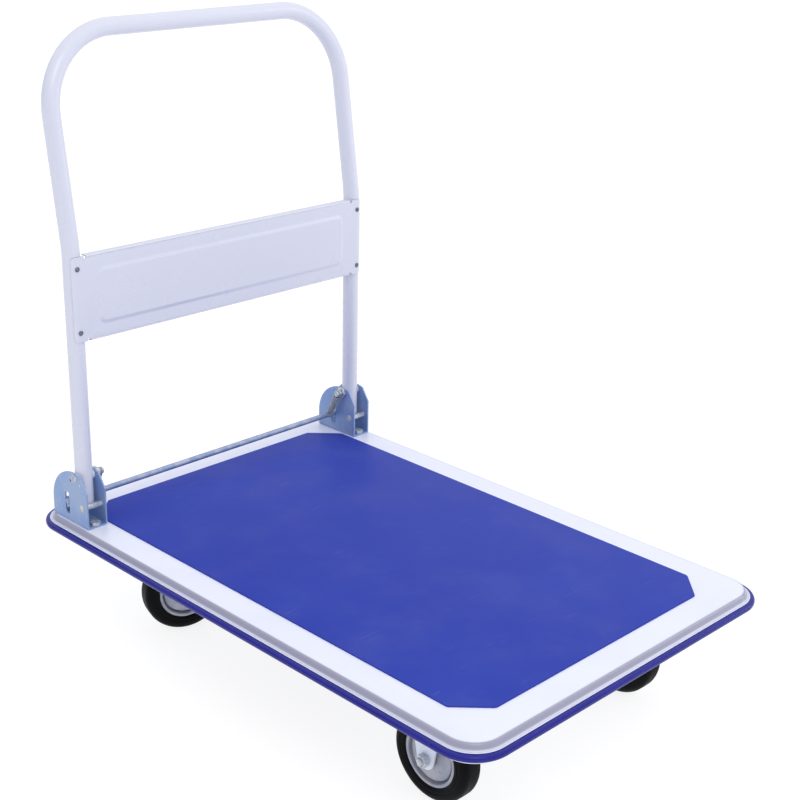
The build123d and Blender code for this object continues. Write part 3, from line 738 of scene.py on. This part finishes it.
def makePivots():
    inside, ear = (abs(corner.x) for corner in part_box("bracket_right"))
    pin, neck = hinge["pinRadius"], hinge["neckRadius"]
    for side, way in sides.items():
        tail = min(abs(corner.x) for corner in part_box("pivot_bolt_" + side))
        springX = abs(middle("spring_" + side).x)
        profile = [(tail, 0), (tail, pin * 0.88), (tail + hinge["pinChamfer"], pin),
                   (springX - hinge["neckEnd"], pin), (springX - hinge["neckFlat"], neck),
                   (springX + hinge["neckFlat"], neck), (springX + hinge["neckEnd"], pin), (ear, pin)]
        profile += dome(ear, hinge["domeRadius"], hinge["domeRise"])
        bolt = lathe(profile, (0, pivot.y, pivot.z), (way, 0, 0), 40)
        addPiece("pivotPin_" + side, bolt, "deck", "bolt_zinc", "pivot_bolt_" + side, 40)
    nuts = []
    for way in sides.values():
        nuts += hexBlock((way * inside, pivot.y, pivot.z), (-way, 0, 0), 16 * mm, 5 * mm, 0.5 * mm, 5.1 * mm)
    addPiece("pivotNuts", nuts, "deck", "bolt_zinc", "pivot_nuts")
    rivets = []
    head = dome(0.0, hinge["rivetRadius"], hinge["rivetRise"])
    profile = [(inside - along, radius) for along, radius in head[::-1]]
    profile += [(inside, hinge["stopRadius"]), (ear, hinge["stopRadius"])]
    profile += [(ear + along, radius) for along, radius in head]
    for way in sides.values():
        rivets.append(lathe(profile, (0, stopLine.y, stopLine.z), (way, 0, 0), 36))
    addPiece("stopRivets", rivets, "deck", "bolt_zinc", "stop_pins", 40)


smallBolt = {"flats": 13 * mm, "head": 5.3 * mm, "nut": 6.5 * mm, "radius": 4 * mm, "thread": 8 * mm,
             "headWasher": 0.6 * mm, "nutWasher": 0.5 * mm, "bore": 4.1 * mm}
bracketBoltInsets = (116.5 * mm, 42 * mm)


def boltPair(place, nutPlace, way, length):
    # a hexagon bolt whose head points the given way along Z, and its nut; gives the two lists of parts
    head = hexBlock(place, (0, 0, way), smallBolt["flats"], smallBolt["head"], smallBolt["headWasher"])
    head.append(shank(place, (0, 0, -way), 0, length, smallBolt["radius"], smallBolt["thread"]))
    nut = hexBlock(nutPlace, (0, 0, -way), smallBolt["flats"], smallBolt["nut"], smallBolt["nutWasher"],
                   smallBolt["bore"])
    return head, nut


def makeBracketBolts():
    low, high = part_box("bracket_bolts")
    headZ, nutZ = high.z - smallBolt["head"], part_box("bracket_nuts")[1].z
    heads, nutsMade = [], []
    for way in sides.values():
        for inset in bracketBoltInsets:
            x, y = way * uprightX, cadBounds[1].y - inset
            head, nut = boltPair((x, y, headZ), (x, y, nutZ), 1, headZ - low.z)
            heads += head
            nutsMade += nut
    addPiece("bracketBolts", heads, "deck", "bolt_zinc", "bracket_bolts")
    addPiece("bracketNuts", nutsMade, "deck", "bolt_zinc", "bracket_nuts")


makeBrackets()
makePivots()
makeBracketBolts()
print("hinge brackets ready")

# ---- lock rod and springs
lock = {"radius": 4.5 * mm, "chamfer": 0.75 * mm, "groove": 1.2 * mm, "clipRadius": 7.5 * mm,
        "clipPlay": 0.1 * mm}


def makeLockRod():
    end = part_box("lock_rod")[1].x
    place = Vector((0, rodLine.y, rodLine.z))
    radius, chamfer, play = lock["radius"], lock["chamfer"], lock["clipPlay"]
    neck = radius - lock["groove"]
    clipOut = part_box("rod_clips")[1].x
    clipIn = clipOut - lock["groove"]
    half = [(clipIn, radius), (clipIn, neck), (clipOut, neck), (clipOut, radius), (end - chamfer, radius),
            (end, radius - chamfer), (end, 0)]
    profile = [(-along, size) for along, size in half[::-1]] + half
    addPiece("lockRod", lathe(profile, place, (1, 0, 0), 32), "lock_rod", "bolt_zinc", "lock_rod", 32,
             "rod_zinc")
    clips = []
    ring = [(clipIn + play, neck + play), (clipIn + play, lock["clipRadius"]),
            (clipOut - play, lock["clipRadius"]), (clipOut - play, neck + play)]
    for way in sides.values():
        clips.append(lathe(ring, place, (way, 0, 0), 32, closed=True))
    addPiece("rodClips", clips, "lock_rod", "spring_steel", "rod_clips")


spring = {"wire": 0.75 * mm, "coil": 4.5 * mm, "turns": 17, "stepsPerTurn": 20, "topHook": 4.85 * mm,
          "lowHook": 5.35 * mm, "wireSides": 8, "hookGap": 2.2, "hookStart": 30, "hookTurn": 300,
          "hookSteps": 26}


def wireArc(mesh, place, x, y, radius, start, turn, steps, rise=0.0):
    # a round wire swept about a centre in the plane of x and y, climbing along their normal
    normal = x.cross(y)
    begin = cos(start) * x + sin(start) * y
    across = begin.cross(normal)
    place = Vector(place)
    tilt = Matrix((begin, normal, across)).transposed().to_4x4()
    ring = bmesh.ops.create_circle(mesh, segments=spring["wireSides"], radius=spring["wire"],
                                   matrix=Matrix.Translation(place + begin * radius) @ tilt)
    edges = list({edge for vert in ring["verts"] for edge in vert.link_edges})
    made = bmesh.ops.spin(mesh, geom=ring["verts"] + edges, cent=place, axis=normal,
                          dvec=normal * rise / steps, angle=turn, steps=steps, use_merge=False,
                          use_duplicate=False)
    ends = [edges, [part for part in made["geom_last"] if isinstance(part, bmesh.types.BMEdge)]]
    for end in ends:
        bmesh.ops.contextual_create(mesh, geom=end)


def makeSprings():
    start, hookTurn, steps = radians(spring["hookStart"]), radians(spring["hookTurn"]), spring["hookSteps"]
    gap = spring["hookGap"] * spring["wire"]
    for side in sides:
        centreX = middle("spring_" + side).x
        top = Vector((centreX, pivot.y, pivot.z))
        low = Vector((centreX, rodLine.y, rodLine.z))
        down = (low - top).normalized()
        acrossX = Vector((1, 0, 0))
        acrossY = down.cross(acrossX)
        coilTop = top + down * (spring["topHook"] + gap)
        coilLow = low - down * (spring["lowHook"] + gap)
        mesh = bmesh.new()
        turns = spring["turns"]
        wireArc(mesh, coilLow, acrossX, -acrossY, spring["coil"], 0.0, 2 * pi * turns,
                turns * spring["stepsPerTurn"], (coilLow - coilTop).length)
        # each hook starts beside the coil's middle and goes round its pin
        wireArc(mesh, top, down, acrossY, spring["topHook"], start, hookTurn, steps)
        wireArc(mesh, low, -down, acrossY, spring["lowHook"], start, hookTurn, steps)
        bmesh.ops.recalc_face_normals(mesh, faces=mesh.faces)
        piece = addPiece("returnSpring_" + side, mesh, None, "spring_steel", "spring_" + side, 60)
        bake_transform(piece)


makeLockRod()
makeSprings()
print("lock ready")

# ---- handle
handle = {
    "radius": 12.7 * mm,
    "wall": 1.5 * mm,
    "sides": 32,
    "kinkAbovePivot": 339 * mm,
    "kinkRadius": 160 * mm,
    "lean": 8.5,
    "corner": 110 * mm,
    "plugDepth": 30 * mm,
    "endArc": 42.36 * mm,
}


def cutFoot(verts):
    # the tube's foot ends on an arc round the fold pin
    for vert in verts:
        vert.co.z = pivot.z - sqrt(handle["endArc"] ** 2 - (vert.co.y - pivot.y) ** 2)


def makeHandleTube():
    mesh = bmesh.new()
    foot = Vector((uprightX, pivot.y, pivot.z - handle["endArc"]))
    made = bmesh.ops.create_circle(mesh, segments=handle["sides"], radius=handle["radius"],
                                   matrix=Matrix.Translation(foot))
    firstVerts = made["verts"][:]
    first = list({edge for vert in firstVerts for edge in vert.link_edges})
    lean = radians(handle["lean"])
    kinkZ = pivot.z + handle["kinkAbovePivot"]
    lowTangent = kinkZ - handle["kinkRadius"] * (1 - cos(lean)) / sin(lean)
    ring, verts = extrudeEdges(mesh, first, (0, 0, lowTangent - foot.z))
    centre = Vector((uprightX, pivot.y + handle["kinkRadius"], lowTangent))
    ring, verts = bendEdges(mesh, ring, verts, centre, (-1, 0, 0), lean, 6)
    leaning = Vector((0, sin(lean), cos(lean)))
    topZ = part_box("handle_tube")[1].z - handle["radius"]
    here = sum((vert.co for vert in verts), Vector()) / len(verts)
    rise = (topZ - here.z) / cos(lean) - handle["corner"]
    ring, verts = extrudeEdges(mesh, ring, leaning * rise)
    inward = Vector((-1, 0, 0))
    centre = here + leaning * rise + inward * handle["corner"]
    ring, verts = bendEdges(mesh, ring, verts, centre, leaning.cross(inward), pi / 2, 20)
    extrudeEdges(mesh, ring, inward * centre.x)
    cutFoot(firstVerts)
    # the wall is turned inside at the foot, and plugged
    inner, innerVerts = extrudeEdges(mesh, first)
    share = 1 - handle["wall"] / handle["radius"]
    for vert in innerVerts:
        vert.co.x = uprightX + (vert.co.x - uprightX) * share
        vert.co.y = pivot.y + (vert.co.y - pivot.y) * share
    cutFoot(innerVerts)
    inner, innerVerts = extrudeEdges(mesh, inner, (0, 0, handle["plugDepth"]))
    bmesh.ops.contextual_create(mesh, geom=inner)
    bmesh.ops.mirror(mesh, geom=mesh.verts[:] + mesh.edges[:] + mesh.faces[:], matrix=Matrix.Identity(4),
                     merge_dist=seamWeld, axis="X")
    bmesh.ops.remove_doubles(mesh, verts=mesh.verts, dist=seamWeld)
    bmesh.ops.recalc_face_normals(mesh, faces=mesh.faces)
    addPiece("handleTube", mesh, "handle", "handle_paint", "handle_tube", 40)


panel = {
    "sheet": 1.2 * mm,
    "wrap": 40,
    "wrapSteps": 10,
    "flapRound": 7 * mm,
    "reliefs": [(249.0, 0.0), (249.6, 4.0), (252.6, 4.0), (253.2, 0.0), (264.5, 0.0)],
    "fieldSide": 30 * mm,
    "fieldLow": 26 * mm,
    "fieldHigh": 18.5 * mm,
    "fieldRound": 14 * mm,
    "fieldSteps": [(1.0, 0.1), (1.2, 0.5), (1.4, 0.8), (1.4, 0.8), (1.2, 0.5), (1.0, 0.1)],
    "lip": 12 * mm,
    "hem": 5 * mm,
    "fold": 1.6 * mm,
    # the crease beside each fold: (up or down, back), step by step
    "crease": [(0.5, 0.7), (0.5, 0.0), (0.5, -0.7)],
}


def makePanel():
    low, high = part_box("handle_panel")
    face = low.y
    mesh = bmesh.new()
    half = panel["reliefs"][0][0] * mm
    fold = panel["fold"]
    centre = Vector((0, face, (low.z + high.z) / 2))
    creased = fold + sum(step for step, back in panel["crease"]) * mm
    upright = Matrix.Translation(centre) @ Matrix.Rotation(pi / 2, 4, "X")
    flat = flatFace(mesh, upright, half, (high.z - low.z) / 2 - creased)[0].link_faces[0]
    if flat.normal.y > 0:
        bmesh.ops.reverse_faces(mesh, faces=[flat])

    def edgesAt(part, axis, value):
        return [edge for edge in part.edges if all(abs(vert.co[axis] - value) < 1e-6 for vert in edge.verts)]

    # lip and hem: a bend, then the turned strip
    for level, way, reach in ((high.z - fold, 1, panel["lip"]), (low.z + fold, -1, panel["hem"])):
        edges = edgesAt(mesh, 2, level - way * (creased - fold))
        for step, back in panel["crease"]:
            edges, verts = extrudeEdges(mesh, edges, (0, back * mm, way * step * mm))
        edges, verts = bendEdges(mesh, edges, verts, (0, face + fold, level), (1, 0, 0), -way * pi / 2, 5)
        extrudeEdges(mesh, edges, (0, reach - fold, 0))
    # the flat runs on past two relief slots and wraps each upright
    for way in (-1, 1):
        edges = edgesAt(flat, 0, way * half)
        for x, cut in panel["reliefs"][1:]:
            edges, verts = extrudeEdges(mesh, edges)
            for vert in verts:
                top = vert.co.z > centre.z
                vert.co.x = way * x * mm
                vert.co.z = high.z - cut * mm if top else low.z + cut * mm
        bendEdges(mesh, edges, verts, (way * uprightX, pivot.y, 0), (0, 0, 1), way * radians(panel["wrap"]),
                  panel["wrapSteps"])
    # free corners of the two flaps are rounded
    radius = pivot.y - face
    for vert in mesh.verts:
        for way in (-1, 1):
            if way * vert.co.x <= uprightX:
                continue
            swing = Vector((way * vert.co.x - uprightX, pivot.y - vert.co.y))
            run = radius * (pi / 2 - min(pi / 2, swing.angle(Vector((1, 0)))))
            left = radius * radians(panel["wrap"]) - run
            past = panel["flapRound"] - left
            if past > 0:
                rounding = panel["flapRound"] - sqrt(max(0.0, panel["flapRound"] ** 2 - past ** 2))
                vert.co.z += -rounding if vert.co.z > centre.z else rounding
    # raised field with soft sides
    bmesh.ops.inset_region(mesh, faces=[flat], thickness=panel["fieldLow"] - creased, depth=0.0)
    for vert in flat.verts:
        if vert.co.z > centre.z:
            vert.co.z = high.z - panel["fieldHigh"]
        vert.co.x = (1 if vert.co.x > 0 else -1) * (uprightX - panel["fieldSide"])
    roundCorners(mesh, flat.verts[:], panel["fieldRound"], 6)
    field = max(mesh.faces, key=lambda f: f.calc_area() * (abs(f.normal.y) > 0.9))
    for inward, rise in panel["fieldSteps"]:
        bmesh.ops.inset_region(mesh, faces=[field], thickness=inward * mm, depth=rise * mm * 0.7)
    bmesh.ops.remove_doubles(mesh, verts=mesh.verts, dist=closeWeld)
    bmesh.ops.recalc_face_normals(mesh, faces=mesh.faces)
    if field.normal.y > 0:
        bmesh.ops.reverse_faces(mesh, faces=mesh.faces)
    piece = addPiece("handlePanel", mesh, "handle", "handle_paint", "handle_panel", 28)
    thicken(piece, panel["sheet"])
    piece.modifiers.new("flatShading", "WEIGHTED_NORMAL").keep_sharp = True


screw = {"radius": 3.75 * mm, "rise": 2.0 * mm, "shank": 2.0 * mm, "length": 6 * mm,
         "insets": (14 * mm, 17 * mm), "recess": 1.2 * mm}


def makePanelScrews():
    low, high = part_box("handle_panel")
    out = pivot.y - low.y + 0.1 * mm
    heads = []
    axis = Vector((0, -1, 0))
    profile = [(-screw["length"], 0), (-screw["length"], screw["shank"]), (0, screw["shank"])]
    profile += dome(0.0, screw["radius"], screw["rise"])[:-1] + [(screw["rise"], 0)]
    for way in (-1, 1):
        for height in (low.z + screw["insets"][0], high.z - screw["insets"][1]):
            place = Vector((way * uprightX, pivot.y, height)) + axis * out
            heads.append(lathe(profile, place, axis, 24))
            cross = bmesh.new()
            disc = bmesh.ops.create_circle(cross, cap_ends=True, segments=16, radius=screw["radius"] * 0.55)
            whole = disc["verts"][0].link_faces[0]
            poked = bmesh.ops.poke(cross, faces=[whole])["faces"]
            bmesh.ops.translate(cross, vec=(0, 0, screw["rise"] * 0.93), verts=cross.verts)
            wedges = [wedge for index, wedge in enumerate(poked) if index % 4 == 0]
            sunk = bmesh.ops.extrude_discrete_faces(cross, faces=wedges)["faces"]
            for wedge in sunk:
                bmesh.ops.translate(cross, vec=(0, 0, -screw["recess"]), verts=wedge.verts)
            bmesh.ops.transform(cross, matrix=alongAxis(place, axis), verts=cross.verts)
            heads.append(cross)
    addPiece("panelScrews", heads, "handle", "bolt_zinc", "panel_screws", 50, "screw_zinc")


makeHandleTube()
makePanel()
makePanelScrews()
print("handle ready")

# ---- wheels
wheel = {
    "steps": 96,
    "tyreHalf": 17 * mm,
    "shoulder": 10 * mm,
    "crown": 0.7 * mm,
    "bead": 41.95 * mm,
    "ringFace": 14.8 * mm,
    "ringOut": 41.8 * mm,
    "drum": 37.3 * mm,
    "discEdge": 34.0 * mm,
    "discFace": 11.4 * mm,
    "domeRise": 3.2 * mm,
    "bore": 12.1 * mm,
    "sheet": 1.6 * mm,
    "bearing": 12 * mm,
    "bearingLength": 11 * mm,
    "bearingBore": 7.1 * mm,
    "rivets": 4,
    "rivetCircle": 23.5 * mm,
    # the sidewall's step, rib and bead, from the tyre's side and the bead's radius
    "sidewall": [(-0.1, 9.0), (-0.55, 8.4), (-0.6, 6.2), (-0.1, 5.6), (-0.1, 4.4), (-0.7, 2.6), (-1.5, 0.8)],
}


def makeTyre(corner, axis):
    centre = middle("tyre_" + corner)
    outer = (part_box("tyre_" + corner)[1].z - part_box("tyre_" + corner)[0].z) / 2
    half, shoulder, bead, ring = (wheel[key] for key in ("tyreHalf", "shoulder", "bead", "ringFace"))
    side = [(0.0, outer), (half - shoulder - 2 * mm, outer - wheel["crown"] * 0.15)]
    side += arcPoints(half - shoulder, outer - shoulder, shoulder, 80, 8, 9)
    side.append((half - 0.05 * mm, outer - shoulder - 1.5 * mm))
    side += [(half + along, bead + out) for along, out in scaled(*wheel["sidewall"])]
    side += [(ring, bead), (ring - 1.7 * mm, bead), (ring - 1.8 * mm, wheel["drum"] + 1.75 * mm)]
    profile = side[::-1] + [(-along, radius) for along, radius in side[1:]]
    mesh = lathe(profile, centre, axis, wheel["steps"], closed=True)
    addPiece("tyre_" + corner + "_rubber", mesh, "wheel_" + corner, "tyre_rubber", "tyre_" + corner, 38)


def makeRim(corner, axis):
    centre = middle("tyre_" + corner)
    face, edge, top = wheel["discFace"], wheel["discEdge"], wheel["discFace"] + wheel["domeRise"]
    sheet, drum, ring, halves = wheel["sheet"], wheel["drum"], wheel["ringFace"], []
    bore, ringOut, foot = wheel["bore"], wheel["ringOut"], top - wheel["bearingLength"]
    meeting = 0.02 * mm         # half the gap where the two halves meet
    profile = [(foot, bore), (top - 0.6 * mm, bore), (top, bore + 0.6 * mm), (top - 0.15 * mm, bore + 3 * mm),
               (face + wheel["domeRise"] * 0.55, edge * 0.68), (face + 0.5 * mm, edge - 3.2 * mm)]
    profile += arcPoints(face - 1.0 * mm, edge - 1.2 * mm, 1.2 * mm, 30, 90, 4)
    profile += [(sheet + 1.2 * mm, edge), (sheet + 0.2 * mm, edge + 0.9 * mm),
                (sheet + 0.2 * mm, drum - 0.9 * mm), (sheet + 1.2 * mm, drum), (ring - 1.4 * mm, drum)]
    profile += arcPoints(ring - 1.3 * mm, drum + 1.3 * mm, 1.3 * mm, -80, 0, 4)
    profile += arcPoints(ring - 0.9 * mm, ringOut - 0.9 * mm, 0.9 * mm, 0, 90, 4)
    profile += [(ring - sheet, ringOut), (ring - sheet, drum + sheet), (meeting, drum + sheet),
                (meeting, edge - sheet), (face - sheet, edge - sheet), (top - sheet, bore + sheet),
                (foot, bore + sheet)]
    for way in (-1, 1):
        halves.append(lathe(profile, centre, axis * way, wheel["steps"], closed=True))
        for turn in range(wheel["rivets"]):
            swing = Matrix.Rotation(pi / 4 + turn * pi / 2, 4, axis) @ Vector((0, 0, 1))
            spot = centre + swing * wheel["rivetCircle"] + axis * way * (face + 1.75 * mm)
            halves.append(lathe(dome(-0.6 * mm, 3.0 * mm, 1.5 * mm, 5), spot, axis * way, 20))
    addPiece("rim_" + corner + "_pressed", halves, "wheel_" + corner, "rim_zinc", "rims_" + corner, 42)


def makeBearings(corner, axis):
    centre = middle("tyre_" + corner)
    top = wheel["discFace"] + wheel["domeRise"]
    foot, outer, inner = top - wheel["bearingLength"], wheel["bearing"], wheel["bearingBore"]
    # the face is 0.1 mm in, and the seal between the two rings 0.9 mm
    profile = [(foot, inner), (foot, outer), (top - 0.5 * mm, outer)]
    profile += [(top - back, outer - under) for back, under in scaled((0.1, 0.4), (0.1, 1.3), (0.9, 1.6))]
    profile += [(top - back, inner + over) for back, over in scaled((0.9, 1.5), (0.1, 1.2), (0.1, 0.0))]
    parts = [lathe(profile, centre, axis * way, 48, closed=True) for way in (-1, 1)]
    addPiece("bearing_" + corner + "_sealed", parts, "wheel_" + corner, "bearing_steel", "bearings_" + corner)


axle = {"flats": 16 * mm, "head": 6 * mm, "nut": 8 * mm, "radius": 5 * mm, "legOut": 23 * mm, "tail": 2 * mm}


def makeAxle(corner, axis):
    body = "swivel_" + corner if corner.startswith("rear") else "deck"
    centre = middle("tyre_" + corner)
    legOut = axle["legOut"]
    # the head stands on the side that the CAD bolt has it
    boltWay = 1 if (middle("axle_nut_" + corner) - centre).dot(axis) < 0 else -1
    out = axis * boltWay
    head = hexBlock(centre + out * legOut, out, axle["flats"], axle["head"], 0.8 * mm)
    head.append(shank(centre, -out, -legOut, legOut + axle["nut"] + axle["tail"], axle["radius"], 13 * mm))
    addPiece("axleBolt_" + corner, head, body, "bolt_zinc", "axle_bolt_" + corner)
    nut = hexBlock(centre - out * legOut, -out, axle["flats"], axle["nut"], 0.8 * mm, 5.1 * mm)
    addPiece("axleNut_" + corner, nut, body, "bolt_zinc", "axle_nut_" + corner)


def makeFork(corner):
    body = "swivel_" + corner if corner.startswith("rear") else "deck"
    pressed("caster_" + corner + "_fork", "fork_" + corner, body, "fork_zinc", 0.6 * mm, sharpAngle=25)


for corner in corners:
    axis = rollAxis["wheel_" + corner].normalized()
    makeTyre(corner, axis)
    makeRim(corner, axis)
    makeBearings(corner, axis)
    makeAxle(corner, axis)
    makeFork(corner)
print("wheels ready")

casterBoltSpread = (30 * mm, 40 * mm)


def makeCasterBolts():
    low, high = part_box("caster_bolts")
    plateUnder = low.z + smallBolt["head"]
    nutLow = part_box("caster_nuts")[0].z
    heads, nutsMade = [], []
    for plate in ("top_plate_rear_right", "fork_front_right"):
        spot = middle(plate)
        for wayX, dx, dy in product((-1, 1), repeat=3):
            x = wayX * spot.x + dx * casterBoltSpread[0]
            y = spot.y + dy * casterBoltSpread[1]
            head, nut = boltPair((x, y, plateUnder), (x, y, nutLow), -1, high.z - plateUnder)
            heads += head
            nutsMade += nut
    addPiece("casterBolts", heads, "deck", "bolt_zinc", "caster_bolts")
    addPiece("casterNuts", nutsMade, "deck", "bolt_zinc", "caster_nuts")


def makeSwivels():
    for side in sides:
        node = "top_plate_rear_" + side
        pressed(node + "_pressed", node, "deck", "fork_zinc", 0.5 * mm)


makeCasterBolts()
makeSwivels()
print("casters ready")

# ---- CAD nodes that keep their own shape
keptSlots = {
    "pivot_bushes": "bush_nylon",
    "lower_races": "race_steel",
    "king_nuts": "bolt_zinc",
    "king_bolt_rear_left": "bolt_zinc",
    "king_bolt_rear_right": "bolt_zinc",
    "race_balls_rear_left": "bearing_steel",
    "race_balls_rear_right": "bearing_steel",
}
keptSlots.update({"axle_sleeve_" + corner: "race_steel" for corner in corners})
for node, slotName in keptSlots.items():
    kept = nodes[node]
    kept.data.materials.clear()
    kept.data.materials.append(finishes[slotName])

# ---- floor and light
stage = {
    "floor": 60.0,
    "floorGlow": 0.84,
    "strength": 1.0,
    "overhead": (1.16, 1.16, 1.18),
    "left": (0.3, 0.34, 0.5),
    "right": (0.74, 0.76, 0.86),
    "keyPower": 26.0,
    "stripPower": 10.0,
}


def makeStage():
    mesh = bmesh.new()
    bmesh.ops.create_grid(mesh, x_segments=1, y_segments=1, size=stage["floor"])
    data = bpy.data.meshes.new("studioFloor")
    mesh.to_mesh(data)
    mesh.free()
    floor = newObject("studioFloor", data)
    paint = Finish("studioFloorPaint", Roughness=0.9, Specular_IOR_Level=0.1, Emission_Color=(1, 1, 1, 1),
                   Emission_Strength=stage["floorGlow"])
    paint.feed(paint.mix(paint.noise(0.8, 2.0), (0.23, 0.23, 0.232), (0.25, 0.25, 0.252)), "Base Color")
    data.materials.append(paint.material)


def makeLight(name, place, target, size, power, colour=(1, 1, 1)):
    data = bpy.data.lights.new(name, "AREA")
    data.shape = "RECTANGLE"
    data.size, data.size_y = size
    data.energy = power
    data.color = colour
    lamp = newObject(name, data)
    aim = (Vector(target) - Vector(place)).to_track_quat("-Z", "Y")
    lamp.matrix_world = Matrix.Translation(place) @ aim.to_matrix().to_4x4()


def makeWorld():
    # a bright ceiling over walls that are darker and cooler on the left
    world = bpy.data.worlds.new("studioRoom")
    world.use_nodes = True
    tree = world.node_tree
    room = tree.nodes["Background"]
    split = newNode(tree, "SeparateXYZ", Vector=newNode(tree, "TexCoord").outputs["Generated"])

    def blendAlong(way, low, high, first, second):
        return mixIn(tree, rangeIn(tree, split.outputs[way], low, high), first, second)

    walls = blendAlong("X", -0.75, 0.2, stage["left"], stage["right"])
    tree.links.new(blendAlong("Z", 0.15, 0.75, walls, stage["overhead"]), room.inputs["Color"])
    room.inputs["Strength"].default_value = stage["strength"]
    bpy.context.scene.world = world


makeStage()
makeWorld()
makeLight("keyLight", (-1.6, -2.4, 3.2), (0, 0, 0.3), (1.6, 1.6), stage["keyPower"])
makeLight("stripLight", (2.4, -1.6, 1.4), (0, 0, 0.3), (0.5, 2.0), stage["stripPower"], (0.93, 0.95, 1.0))
bpy.context.scene.view_settings.view_transform = "Standard"
print("stage ready")
